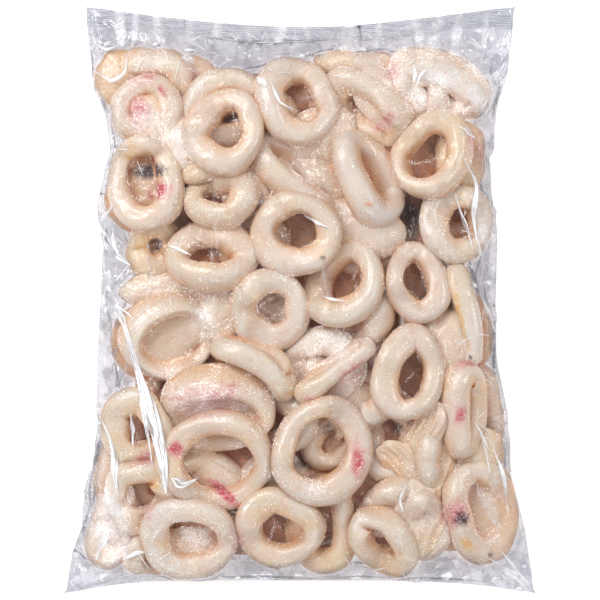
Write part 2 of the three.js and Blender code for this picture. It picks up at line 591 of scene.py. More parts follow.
@dataclass(frozen=True)
class FilmFinish(Finish):
    """Thin clear film: grey where it crosses a bright ground; white along its folds and at its edges, partly
    whitened film and partly painted highlight, and a few facets painted white as glints.
    """

    name: str = "clear_film"
    # dark_tint and light_tint grey each loose facet at random: painted shading of crumpled film.
    dark_tint: Colour = (0.635, 0.637, 0.665)
    light_tint: Colour = (0.88, 0.882, 0.90)
    sealed_tint: Colour = (0.622, 0.625, 0.657)
    resting_tint: Colour = (0.975, 0.975, 0.98)
    # haze is the milky white of the painted highlights.
    haze: Colour = (0.93, 0.935, 0.96)
    mirror: Colour = (0.97, 0.975, 0.985)
    haze_roughness: float = 0.3
    gloss: float = 0.07
    dull_gloss: float = 0.09
    face_on: float = 0.035  # how much it mirrors, seen straight
    edge_on: float = 0.26
    resting: float = 0.38  # share of its mirror that is left on the rings
    sharpness: float = 5.0  # how late the mirror rises towards a grazing view
    cells: float = 95.0  # facets in a metre
    slope: float = 0.42
    quiet_slope: float = 0.012
    sealed_slope: float = 0.25
    # Share of white painted on the facets that glint.
    glint_share: float = 0.8
    streaks: float = 150.0
    faintest: float = 0.35  # least share of its whiteness between streaks

    def shade(self, nodes: Wiring, effects: Effects) -> Node:
        """Reads the points' attribute "film": whiteness, which is partly painted highlight, looseness and
        weld.

        Args:
            nodes: The material's nodes.
            effects: The shared shader groups.

        Returns:
            The last shader.
        """
        white, loose, sealed, _ = nodes.channels("film")
        crumpled = nodes.times(loose, nodes.between(sealed, 1.0, self.sealed_slope))
        slope = nodes.between(crumpled, self.quiet_slope, self.slope)
        height, shade, painted_glint = nodes.use(effects.crumple, Cells=self.cells, Slope=slope).outputs
        normal = nodes.bump(height, 1.0)

        grazing = nodes.add("ShaderNodeLayerWeight", {"Blend": 0.5, "Normal": normal}).outputs["Facing"]
        rise = nodes.math("POWER", grazing, self.sharpness)
        mirror = nodes.between(rise, self.face_on, self.edge_on)
        mirror = nodes.times(mirror, nodes.between(loose, self.resting, 1.0))
        # Painted shading: each loose facet takes a random grey.
        tint = nodes.blend(sealed, nodes.blend(shade, self.dark_tint, self.light_tint), self.sealed_tint)
        clear = nodes.add("ShaderNodeBsdfTransparent", {0: nodes.blend(loose, self.resting_tint, tint)})
        gloss = nodes.between(loose, self.dull_gloss, self.gloss)
        shine, dull = (
            nodes.add("ShaderNodeBsdfPrincipled", {
                "Base Color": colour, "Metallic": metallic, "Roughness": roughness, "Normal": normal})
            for colour, metallic, roughness in (
                (self.mirror, 1.0, gloss), (self.haze, 0.0, self.haze_roughness)))
        # Painted highlights: white haze along folds and edges, in streaks, and on the few facets that glint.
        streaks = nodes.step(nodes.noise(self.streaks, 4.0, nodes.place(), 1.5), 0.38, 0.66)
        veil = nodes.times(white, nodes.between(streaks, self.faintest, 1.0), clamp=True)
        slack = nodes.step(crumpled, 0.45, 0.9)
        glint = nodes.times(painted_glint, nodes.times(slack, self.glint_share))
        veil = nodes.math("MAXIMUM", veil, glint, clamp=True)
        return nodes.cover(veil, nodes.cover(mirror, clear, shine), dull)


@dataclass(frozen=True)
class PleatFinish(Finish):
    """A pleat of film: long white streaks, partly whitened film and partly painted highlight, with clear film
    between them.
    """

    name: str = "film_pleat"
    haze: Colour = (0.95, 0.955, 0.97)
    tint: Colour = (0.93, 0.93, 0.94)
    roughness: float = 0.25
    streaks: Pair = (3.2, 4.5)
    faintest: float = 0.12

    def shade(self, nodes: Wiring, effects: Effects) -> Node:
        """Reads the points' attribute "pleat": whiteness, place across and place along.

        Args:
            nodes: The material's nodes.
            effects: The shared shader groups; not used.

        Returns:
            The last shader.
        """
        white, across, along, _ = nodes.channels("pleat")
        across, along = (nodes.times(part, scale) for part, scale in zip((across, along), self.streaks))
        at = nodes.add("ShaderNodeCombineXYZ", {0: across, 1: along}).outputs[0]
        streak = nodes.step(nodes.noise(1.0, 3.0, at, 0.3), 0.36, 0.56)
        clear = nodes.add("ShaderNodeBsdfTransparent", {0: self.tint})
        milky = nodes.add("ShaderNodeBsdfPrincipled", {"Base Color": self.haze, "Roughness": self.roughness})
        share = nodes.times(white, nodes.between(streak, self.faintest, 1.0), clamp=True)
        return nodes.cover(share, clear, milky)


@dataclass(frozen=True)
class PlainFinish(Finish):
    """A simple opaque finish with a slight unevenness."""

    colour: Colour = (0.95, 0.95, 0.96)
    other: Colour = (0.90, 0.90, 0.92)
    roughness: float = 0.3
    grain: float = 300.0
    # Light it gives off: the floor's even glow, or a painted glow on the ice crystals.
    glow: float = 0.0

    def shade(self, nodes: Wiring, effects: Effects) -> Node:
        """Mixes its two colours by noise.

        Args:
            nodes: The material's nodes.
            effects: The shared shader groups; not used.

        Returns:
            The last shader.
        """
        colour = nodes.blend(nodes.noise(self.grain, 3.0, nodes.place()), self.colour, self.other)
        return nodes.add("ShaderNodeBsdfPrincipled", {
            "Base Color": colour,
            "Roughness": self.roughness,
            "Emission Color": (1.0, 1.0, 1.0),
            "Emission Strength": self.glow,
        })


class Grower:
    """A Geometry Nodes tree that turns a guide object into one plain mesh."""

    def __init__(self, name: str, **sizes: float) -> None:
        """Starts the tree.

        Args:
            name: The tree's name.
            **sizes: The named numbers that it takes, and their values.
        """
        self.tree = bpy.data.node_groups.new(name, "GeometryNodeTree")
        self.nodes = Wiring(self.tree)
        face = self.tree.interface
        face.new_socket("Geometry", in_out="INPUT", socket_type="NodeSocketGeometry")
        self.values = {
            face.new_socket(label, in_out="INPUT", socket_type="NodeSocketFloat").identifier: value
            for label, value in sizes.items()}
        face.new_socket("Geometry", in_out="OUTPUT", socket_type="NodeSocketGeometry")
        self.given = self.nodes.add("NodeGroupInput").outputs

    def attribute(self, name: str) -> NodeSocket:
        """Reads one number of each point of the guide."""
        return self.nodes.add("GeometryNodeInputNamedAttribute", {"Name": name}, data_type="FLOAT").outputs[0]

    def grow(self, name: str, guide: Object, shape: NodeSocket, material: Material) -> Object:
        """Ends the tree and runs it.

        Args:
            name: The piece's name.
            guide: The object that it starts from, which is removed.
            shape: The tree's geometry, with its instances.
            material: The piece's finish.

        Returns:
            The piece.
        """
        solid = self.nodes.add("GeometryNodeRealizeInstances", {0: shape})
        dressed = self.nodes.add("GeometryNodeSetMaterial", {0: solid.outputs[0], "Material": material})
        self.nodes.add("NodeGroupOutput", {0: dressed.outputs[0]})
        modifier = guide.modifiers.new("grow", "NODES")
        modifier.node_group = self.tree
        for identifier, value in self.values.items():
            modifier[identifier] = value
        bpy.context.view_layer.update()
        evaluated = guide.evaluated_get(bpy.context.evaluated_depsgraph_get())
        mesh = bpy.data.meshes.new_from_object(evaluated)
        mesh.name = name
        bpy.data.objects.remove(guide)
        return show(name, mesh)


class Kind(Enum):
    """Which joined piece a ring belongs to."""

    PLAIN = "rings_plain"
    STAINED = "rings_stained"
    FROSTED = "rings_frosted"
    DEEP = "rings_deep"


PLAIN, STAINED, FROSTED, DEEP = Kind


@dataclass(frozen=True)
class SquidRing:
    """One cut ring, before it settles on the heap."""

    at: Pair  # plan position
    outer: Pair  # length and width, when it lies flat
    turn: float = 0.0  # plan direction of its length, in degrees
    tilt: float = 0.0  # how steeply it stands
    rise: float = 0.0  # plan direction of its high side
    band: Pair = (14.0, 14.0)  # width of its wall and height of its cut
    kind: Kind = PLAIN
    rime: float = 0.16  # how frosted it is, 0 to 1
    tone: float = 0.25  # how much warmer than cream, 0 to 1
    bow: float = 0.0  # how far its ends bend out of its plane
    cone: float = 4.0  # how far its wall leans outwards, in degrees
    give: float = 9.0  # how far an unsupported stretch may sag
    hold: float = 0.25  # how firmly it keeps its place in plan
    lop: float = 0.17  # how much thicker one side is than the other
    bowl: float = 0.10  # how much its hollow narrows downwards
    wobble: Pair = (0.045, 0.024)  # how far out of round it is, in two and in three waves
    warp: float = 1.3  # how far it bends out of its plane at random
    roll: float = 8.0  # how much the lean of its wall changes, in degrees
    uneven: Triple = (0.06, 0.14, 0.07)  # waves in its wall's width, then two in its height
    lumpy: float = 0.09  # how uneven its skin is
    around_steps: int = 96
    section_steps: int = 24

    def _line(self, phi: Array, swing: Array) -> tuple[Array, Array, Array]:
        """Works out the middle line of the ring's wall.

        Args:
            phi: Angles of the steps round it.
            swing: Phases of its unevenness.

        Returns:
            The line's places from the ring's middle, its outward directions, and the ring's axis.
        """
        half_long, half_wide = (size / 2 - self.band[0] / 2 for size in self.outer)
        wobble = 1 + self.wobble[0] * np.cos(2 * phi + swing[0]) + self.wobble[1] * np.cos(3 * phi + swing[1])
        flat = np.stack((half_long * np.cos(phi), half_wide * np.sin(phi)), 1) * wobble[:, None]
        out = np.stack((half_wide * np.cos(phi), half_long * np.sin(phi)), 1)
        out /= norm(out, axis=1)[:, None]
        turn, rise, tilt = radians(self.turn), radians(self.rise), radians(self.tilt)
        spin = np.array(((cos(turn), sin(turn)), (-sin(turn), cos(turn))))
        level = np.array((cos(rise), sin(rise)))
        beside = np.array((-level[1], level[0]))
        high = np.array((level[0] * cos(tilt), level[1] * cos(tilt), sin(tilt)))
        aside = np.array((*beside, 0.0))
        axis = np.cross(high, aside)
        middle, outward = ((plan @ level)[:, None] * high + (plan @ beside)[:, None] * aside
                           for plan in (flat @ spin, out @ spin))
        arch = self.bow * np.cos(phi) ** 2 + self.warp * np.cos(2 * phi + swing[2])
        return middle + arch[:, None] * axis, outward, axis

    def _section(self, psi: Array) -> tuple[Array, Array, Array]:
        """Works out the section of the ring's wall: a box with round corners.

        Args:
            psi: Angles of the steps round it.

        Returns:
            Its places outwards, its places upwards, and how far each faces the hollow, 0 to 1.
        """
        hollow = ease(0.5 - 0.75 * np.cos(psi))
        sharp = 2.0 / (2.25 + 1.1 * hollow * ease(0.5 + np.sin(psi)))
        side, top = (np.sign(part) * np.abs(part) ** sharp * size / 2
                     for part, size in zip((np.cos(psi), np.sin(psi)), self.band))
        return side + self.bowl * hollow * top, top, hollow

    def surface(self, seed: int) -> Arrays:
        """Works out the ring's skin where it is cut, before it is packed.

        Args:
            seed: Chooses its unevenness.

        Returns:
            Points as an array of steps round the ring, steps round its wall and three places, and how far
            each point faces the ring's hollow, 0 to 1.
        """
        chance = np.random.default_rng(seed)
        swing = chance.uniform(0.0, TURN, 8)
        phi = np.linspace(0.0, TURN, self.around_steps, endpoint=False)
        psi = np.linspace(0.0, TURN, self.section_steps, endpoint=False)
        middle, outward, axis = self._line(phi, swing)
        side, top, hollow = self._section(psi)
        lean = np.radians(self.cone + self.roll * np.cos(phi + swing[3]))[:, None]
        across = outward * np.cos(lean) + axis * np.sin(lean)
        upward = axis * np.cos(lean) - outward * np.sin(lean)
        wide, high, higher = self.uneven
        thick = 1 + self.lop * np.cos(phi + swing[4]) + wide * np.cos(3 * phi + swing[5])
        tall = 1 + high * np.cos(phi + swing[6]) + higher * np.cos(2 * phi + swing[7])
        lumps = np.zeros((self.around_steps, self.section_steps))
        for times in range(2, 9):
            turns = chance.integers(0, 4)
            lumps += chance.normal(0.0, 0.9) / times * np.cos(
                times * phi[:, None] + turns * psi[None, :] + chance.uniform(0.0, ANY_PHASE))
        swell = 1 + self.lumpy * lumps
        points = (middle[:, None] + across[:, None] * (thick[:, None] * side * swell)[..., None]
                  + upward[:, None] * (tall[:, None] * top * swell)[..., None])
        points[..., :2] += self.at
        return points, hollow[None, :] * np.ones((self.around_steps, 1))


class Tint(Enum):
    """Kinds of stain, in the order of the attribute's channels. Rime goes to the frost instead."""

    RED = 0
    INK = 1
    AMBER = 2
    RIME = 3


@dataclass(frozen=True)
class Stain:
    """A blotch on the upper side of the heap."""

    at: Pair
    size: Pair
    turn: float = 0.0
    tint: Tint = Tint.RED
    strength: float = 1.0
    deep: bool = False
    reach: float = 1.6  # where it ends, as a share of its size
    edge: float = 1.5  # width of its soft edge, as a share of its size

    def share(self, points: Array) -> Array:
        """Works out how strongly the blotch marks some points, seen in plan.

        Args:
            points: The points.

        Returns:
            A share for each point.
        """
        along, across = unturned(points[..., 0] - self.at[0], points[..., 1] - self.at[1], self.turn)
        away = np.hypot(along / (self.size[0] / 2), across / (self.size[1] / 2))
        return self.strength * ease((self.reach - away) / self.edge)


@dataclass(frozen=True)
class Scrap:
    """A torn or folded bit of flesh between the rings, seen only from above."""

    at: Triple
    size: Triple  # length, width and thickness
    turn: float = 0.0
    slope: Pair = (0.0, 0.0)  # how far its two axes lean, in degrees
    waves: float = 0.05  # how uneven its outline is
    ruck: float = 0.6  # height of the rucks across it
    kind: Kind = PLAIN
    rime: float = 0.5
    tone: float = 0.4
    rows: int = 30
    columns: int = 64

    def surface(self, seed: int) -> Arrays:
        """Works out the scrap's skin, without its two end points.

        Args:
            seed: Chooses its lumps.

        Returns:
            Points as an array of rows, columns and three places, and zeros for the hollow.
        """
        chance = np.random.default_rng(seed)
        polar = np.linspace(0.0, TURN / 2, self.rows + 2)[1:-1, None]
        round_it = np.linspace(0.0, TURN, self.columns, endpoint=False)[None, :]
        x = np.cos(polar) * np.ones_like(round_it)
        y = np.sin(polar) * np.cos(round_it)
        z = np.sin(polar) * np.sin(round_it)
        swell = np.ones_like(x)
        for times in range(1, 7):
            spin = chance.uniform(-1.0, 1.0, 3)
            spin *= 1.6 * times / norm(spin)
            wave = np.sin(x * spin[0] + y * spin[1] + z * spin[2] + chance.uniform(0.0, ANY_PHASE))
            swell += self.waves * wave / times ** 0.5
        body = np.stack((x, y, z), axis=-1) * swell[..., None] * np.array(self.size) / 2
        sway = chance.uniform(0.0, ANY_PHASE, 3)
        rucks = 1 - np.abs(np.sin(8.5 * y + 1.3 * np.sin(2.2 * x + sway[0]) + sway[1]))
        rucks = 0.7 * rucks ** 1.5 + 0.5 * np.sin(3.1 * x + 2.0 * y + sway[2])
        body[..., 2] += self.ruck * (rucks - 0.4) * np.sin(polar)
        lift = np.tan(np.radians(self.slope))
        body[..., 2] += body[..., 0] * lift[0] + body[..., 1] * lift[1]
        body[..., 0], body[..., 1] = unturned(body[..., 0], body[..., 1], -self.turn)
        return body + np.array(self.at), np.zeros_like(x)


@dataclass
class Laid:
    """A ring or a scrap in its final place."""

    shape: SquidRing | Scrap
    points: Array
    inner: Array
    tone: float
    blush: float = 0.6

    def skin(self) -> Array:
        """Lists all its points.

        Returns:
            The points, a scrap's two end points last.
        """
        flat = self.points.reshape(-1, 3)
        if isinstance(self.shape, SquidRing):
            return flat
        ends = self.points[[0, -1]].mean(axis=1)
        return join((flat, ends))

    def faces(self) -> Arrays:
        """Lists its faces.

        Returns:
            The four-sided faces, and the three-sided ones.
        """
        rows, columns = self.points.shape[:2]
        if isinstance(self.shape, SquidRing):
            return quads(rows, columns, True, True), np.zeros((0, 3), dtype=int)
        rim = np.arange(columns)
        beyond = np.roll(rim, -1)
        count = rows * columns
        far = count - columns
        first = np.stack((rim, beyond, np.full(columns, count)), axis=1)
        last = np.stack((beyond + far, rim + far, np.full(columns, count + 1)), axis=1)
        return quads(rows, columns, False, True), join((first, last))

    def spread(self, values: Array) -> Array:
        """Lists channels for all points.

        Args:
            values: Channels of each row and column of points.

        Returns:
            The channels in one list, where a scrap's two end points have their neighbours'.
        """
        flat = values.reshape(-1, values.shape[-1])
        if isinstance(self.shape, SquidRing):
            return flat
        return join((flat, values[[0, -1], 0]))


@dataclass
class Packing:
    """Squeezes the laid rings under the bag's film until they nest between each other.

    Each ring is a loop of balls that keeps its own shape while it is pushed from its neighbours.
    """

    laid: list[Laid]
    outline: "Outline"
    balls: int = 24  # in each ring
    crown: float = 46.5  # height of the film over the middle
    rim: float = 4.0  # height of the film over its sides
    headroom: float = 55.0  # how much higher the film starts
    dome: Pair = (116.0, 151.0)  # half of the film's width and length
    centre_y: float = -7.0
    ends: Pair = (-156.0, 140.0)  # where the bag ends
    table: float = 0.6  # height of what the rings lie on
    wall: float = 2.0  # what the rings keep from the bag's sides
    nearby: float = 3.0  # distance at which balls are watched
    overlap: float = 0.94  # distance of touching balls, as a share of their radii
    yielding: float = 0.45  # how much a ball with many neighbours slows down
    stiffness: float = 0.5
    weight: float = 0.06  # how far everything sinks in a round
    homing: float = 0.35  # how strongly a ring is drawn back to its plan position
    upright_hold: float = 0.2  # rings held more firmly than this stay upright
    uprightness: float = 0.9
    recheck: int = 8  # rounds between two looks for neighbours
    lid_speed: float = 1.6  # the film is down before the last round
    wavy: float = 0.6  # share of a ring's finer waves that is kept

    def __post_init__(self) -> None:
        """Takes the balls from the rings' middles."""
        laid = self.laid
        every = [one.shape.around_steps // self.balls for one in laid]
        self.start = np.stack([one.points.mean(axis=1)[::step] for one, step in zip(laid, every)])
        self.rest = self.start - self.start.mean(axis=1, keepdims=True)
        self.at = self.start.copy()
        self.radius = np.repeat([0.25 * sum(one.shape.band) for one in laid], self.balls)
        self.hold = np.array([one.shape.hold for one in laid])[:, None, None]
        self.upright = np.where(self.hold > self.upright_hold, self.uprightness, 0.0)
        self.owner = np.repeat(np.arange(len(laid)), self.balls)

    def _lid(self, at: Array, share: float) -> Array:
        """Works out the height of the film, which is a flat dome.

        Args:
            at: Places under it.
            share: How far down it has come, 0 to 1.

        Returns:
            Its height over each place.
        """
        spots = np.abs(at[..., 0]), np.abs(at[..., 1] - self.centre_y)
        sides, ends = (np.sqrt(np.clip(1 - (spot / half) ** 4, 0.02, 1))
                       for spot, half in zip(spots, self.dome))
        low = self.rim + (self.crown - self.rim) * sides * ends
        return low + (1 - share) * self.headroom

    def _neighbours(self) -> Arrays:
        """Finds balls of different rings that may touch.

        Returns:
            The first balls' numbers, and the second balls'.
        """
        balls = self.at.reshape(-1, 3)
        square = (balls ** 2).sum(axis=1)
        apart = square[:, None] + square[None, :] - 2 * balls @ balls.T
        reach = self.radius[:, None] + self.radius[None, :] + self.nearby
        close = (apart < reach ** 2) & (self.owner[:, None] < self.owner[None, :])
        return np.nonzero(close)

    def _push_apart(self, first: Array, second: Array) -> None:
        """Separates touching balls.

        Args:
            first: One ball of each pair that may touch.
            second: The other.
        """
        balls = self.at.reshape(-1, 3)
        gap = balls[second] - balls[first]
        distance = norm(gap, axis=1) + 1e-6
        wanted = (self.radius[first] + self.radius[second]) * self.overlap
        short = np.maximum(wanted - distance, 0.0)
        move = gap * (0.5 * short / distance)[:, None]
        count = len(balls)
        touched = sum(np.bincount(side[short > 0], minlength=count) for side in (first, second))
        ease_off = 1.0 / np.maximum(1.0, self.yielding * touched)
        for axis in range(3):
            total = np.bincount(second, move[:, axis], count) - np.bincount(first, move[:, axis], count)
            balls[:, axis] += total * ease_off

    def _turned(self) -> Arrays:
        """Finds how each ring as a whole has moved.

        Returns:
            Turns as matrices, and the rings' middles.
        """
        middle, rest = self.at.mean(axis=1, keepdims=True), self.rest
        mixed = np.einsum("rki,rkj->rij", self.at - middle, rest)
        size = np.einsum("rki,rki->r", rest, rest)[:, None, None]
        left, _, right = np.linalg.svd(mixed + self.upright * size * np.eye(3))
        left[:, :, 2] *= np.sign(np.linalg.det(left @ right))[:, None]
        return left @ right, middle

    def _keep_shapes(self) -> None:
        """Draws each ring towards its own shape."""
        turn, middle = self._turned()
        goal = np.einsum("rij,rkj->rki", turn, self.rest) + middle
        self.at += self.stiffness * (goal - self.at)

    def _keep_inside(self, share: float) -> None:
        """Keeps the balls over the table, under the film and inside the bag's plan.

        Args:
            share: How far down the film has come, 0 to 1.
        """
        radius = self.radius.reshape(self.at.shape[:2])
        at = self.at
        np.minimum(at[..., 2], self._lid(at, share) - radius, out=at[..., 2])
        np.maximum(at[..., 2], radius + self.table, out=at[..., 2])
        for side in (-1, 1):
            limit = self.outline.half_width(at[..., 1], side) - radius - self.wall
            at[..., 0] = side * np.minimum(side * at[..., 0], limit)
        np.clip(at[..., 1], radius + self.ends[0], self.ends[1] - radius, out=at[..., 1])

    def run(self, rounds: int = 700) -> None:
        """Lowers the film and settles the rings.

        Args:
            rounds: How many small steps to take.
        """
        for turn in range(rounds):
            if turn % self.recheck == 0:
                first, second = self._neighbours()
            self.at[..., 2] -= self.weight
            self.at[..., :2] += self.hold * self.homing * (self.start - self.at)[..., :2]
            self._keep_shapes()
            self._push_apart(first, second)
            self._keep_inside(min(1.0, self.lid_speed * turn / rounds))
        log.info("packed %d rings, up to %.1f mm", len(self.laid), self.at[..., 2].max())
        turns, middles = self._turned()
        for number, one in enumerate(self.laid):
            self._reshape(one, self.at[number], turns[number], middles[number], self.start[number])

    def _reshape(self, one: Laid, balls: Array, turn: Array, middle: Array, start: Array) -> None:
        """Moves one ring's skin with its balls.

        Args:
            one: The ring.
            balls: Where its balls are now.
            turn: How the ring as a whole has turned.
            middle: Its middle now.
            start: Where its balls were.
        """
        steps = one.points.shape[0]
        old_middle = start.mean(axis=0)
        rigid = (start - old_middle) @ turn.T + middle
        waves = np.fft.rfft(balls - rigid, axis=0)
        waves[3:] *= self.wavy
        waves[len(balls) // 4:] = 0.0
        padded = np.zeros((steps // 2 + 1, 3), dtype=complex)
        padded[:len(waves)] = waves
        strayed = np.fft.irfft(padded, steps, axis=0) * steps / len(balls)
        line = one.points.mean(axis=1)
        offset = (one.points - line[:, None]) @ turn.T
        line = (line - old_middle) @ turn.T + middle
        before = np.roll(line, -1, axis=0) - np.roll(line, 1, axis=0)
        line = line + strayed
        after = np.roll(line, -1, axis=0) - np.roll(line, 1, axis=0)
        before /= norm(before, axis=1, keepdims=True)
        after /= norm(after, axis=1, keepdims=True)
        axis = np.cross(before, after)[:, None]
        cosine = (before * after).sum(axis=1)[:, None, None]
        turned = offset * cosine + np.cross(axis, offset)
        turned += axis * (axis * offset).sum(axis=-1, keepdims=True) / (1 + cosine)
        one.points = line[:, None] + turned


# The rings that show, from the lowest to the highest. Each settles on those before it.
LOW_RINGS = (
    SquidRing((27, 128), (50, 26), -8, 62, 90, kind=FROSTED, rime=0.35),
    SquidRing((96, 84), (44, 32), 80, 20, 180, kind=STAINED, rime=0.3, tone=0.7),
    SquidRing((35, 36), (50, 42), -15, 12, 90, tone=0.3, rime=0.2),
    SquidRing((-22, 62), (44, 34), 10, 10, 0, kind=DEEP, rime=0.25),
    SquidRing((-27, 36), (42, 38), 0, 15, 180, kind=STAINED, rime=0.3, tone=0.5),
    SquidRing((52, -16), (46, 40), 60, 25, 330, kind=DEEP, rime=0.2),
    SquidRing((36, -14), (42, 34), 60, 30, 330, kind=DEEP, rime=0.3),
    SquidRing((-44, -4), (38, 42), 0, 10, 200, kind=DEEP, rime=0.4),
    SquidRing((-13, -66), (46, 40), -15, 12, 100, rime=0.3),
    SquidRing((49, -80), (54, 40), 80, 20, 180, rime=0.35),
    SquidRing((56, -113), (46, 34), 35, 15, 120, kind=DEEP, rime=0.3),
    SquidRing((83, -90), (44, 42), 0, 10, 0, kind=DEEP, rime=0.15),
    SquidRing((33, -57), (40, 36), 0, 8, 0, kind=DEEP, rime=0.2),
    SquidRing((101, -64), (52, 34), 88, 12, 180, kind=FROSTED, rime=0.4, tone=0.4),
    SquidRing((-104, -98), (56, 28), 86, 25, 0, kind=FROSTED, rime=0.4),
    SquidRing((-100, -126), (46, 34), 80, 15, 0, kind=FROSTED, rime=0.75, tone=0.4),
    SquidRing((-84, -140), (36, 28), 0, 5, 90, kind=DEEP, rime=0.4),
    SquidRing((73, -122), (44, 36), 70, 15, 0, kind=DEEP, rime=0.25),
    SquidRing((84, -20), (44, 38), 80, 10, 0, rime=0.2, tone=0.5),
    SquidRing((60, 108), (48, 44), 0, 10, 0, kind=DEEP, rime=0.3),
    SquidRing((-62, 108), (44, 40), 0, 8, 0, kind=DEEP, rime=0.3),
)

UPPER_RINGS = (
    SquidRing((-42, 106), (54, 46), 15, 18, 90, rime=0.3),
    SquidRing((-82, 120), (56, 46), 90, 34, 90, (14.8, 15.6), rime=0.25, tone=0.3, hold=0.5),
    SquidRing((38, 108), (60, 46), -27, 52, 63, (14.8, 15.6), STAINED, rime=0.4),
    SquidRing((80, 116), (64, 46), -14, 58, 72, (14.8, 24.6), FROSTED, rime=0.62),
    SquidRing((-80, 30), (36, 34), 0, 12, 90, kind=STAINED, rime=0.25, tone=0.75),
    SquidRing((-45, 57), (42, 42), 0, 38, 280, (13.8, 15.6), rime=0.32, tone=0.4),
    SquidRing((-1, 69), (66, 44), -38, 50, 232, (13.8, 15.6), rime=0.3),
    SquidRing((-46, -60), (66, 52), 2, 42, 95, (12.8, 24.6), STAINED, rime=0.4, tone=0.35),
    SquidRing((-88, -72), (48, 46), 0, 14, 90, (14.8, 13.6), rime=0.25, tone=0.35),
    SquidRing((12, -36), (52, 46), 20, 20, 80, (14.8, 15.6), FROSTED, rime=0.6, tone=0.35),
    SquidRing((25, 10), (54, 50), 35, 40, 320, (14.8, 14.6), tone=0.35),
    SquidRing((90, 43), (48, 44), 80, 22, 200, (14.8, 14.6), FROSTED, rime=0.3),
    SquidRing((-54, -106), (54, 46), 0, 18, 100, (12.8, 13.6), rime=0.3, tone=0.4),
    SquidRing((17, -125), (56, 48), 86, 34, 0, (14.8, 14.6), tone=0.35),
    SquidRing((-87, -106), (48, 46), 40, 16, 140, (14.8, 13.6), STAINED, rime=0.4),
    SquidRing((-48, -93), (66, 62), 0, 16, 70, (13.3, 13.6), rime=0.2),
    SquidRing((20, -78), (40, 34), 40, 18, 220, (12.8, 12.6), tone=0.2),
    SquidRing((43, -132), (47, 39), -50, 34, 55, (13.0, 14.6), tone=0.35),
    SquidRing((99, -117), (60, 50), 95, 28, 180, (15.8, 14.6), STAINED, rime=0.3, tone=0.3),
    SquidRing((-86, 106), (46, 42), 90, 16, 250, (13.8, 13.6), STAINED, rime=0.35, tone=0.25, hold=0.5),
    SquidRing((70, 82), (51, 48), 60, 24, 315, (12.4, 15.6), tone=0.3),
    SquidRing((-40, 95), (52, 50), 45, 26, 315, (14.8, 14.6), tone=0.2),
    SquidRing((0, 112), (54, 52), -45, 28, 240, (14.8, 14.6), tone=0.15),
    SquidRing((-85, 69), (58, 46), 95, 18, 280, (13.3, 14.6), STAINED, rime=0.18, tone=0.25),
    SquidRing((38, 68), (60, 46), -62, 56, 205, (14.8, 17.6), tone=0.1, give=2),
    SquidRing((-2, 38), (52, 50), -35, 16, 330, (14.8, 13.6), STAINED, rime=0.14, tone=0.2),
    SquidRing((-51, 25), (52, 48), 0, 36, 270, (14.8, 15.6), rime=0.26, tone=0.2),
    SquidRing((65, 10), (48, 36), 95, 16, 230, (12.3, 13.6), tone=0.2),
    SquidRing((-15, -6), (48, 47), 20, 14, 80, (15.3, 13.6), rime=0.3, tone=0.15),
    SquidRing((-73, -20), (53, 51), 30, 32, 135, (13, 22), FROSTED, rime=0.25, tone=0.35, bowl=0.45),
    SquidRing((-25, -35), (56, 28), -35, 70, 235, (13.8, 15.6), tone=0.25, bow=-7, give=0),
    SquidRing((21, -41), (56, 24), 38, 76, 308, (11.8, 11.6), STAINED, tone=0.15, bow=2, give=0),
    SquidRing((62, -41), (56, 42), 80, 15, 200, (14.3, 13.6), tone=0.2),
    SquidRing((90, -62), (58, 34), 88, 62, 180, (13.8, 17.6), STAINED, tone=0.25, give=2),
    SquidRing((92, -8), (56, 24), 104, 74, 10, (11.8, 12.6), STAINED, tone=0.1, bow=3, give=0),
    SquidRing((11, -84), (64, 58), 80, 12, 180, (14.3, 13.6), STAINED, tone=0.25),
    SquidRing((-62, -130), (58, 50), -15, 14, 90, (14.2, 14.6), STAINED, rime=0.35, tone=0.25, hold=0.5),
    SquidRing((-11, -125), (52, 48), -25, 20, 60, (14.3, 13.6), tone=0.3, rime=0.22),
)

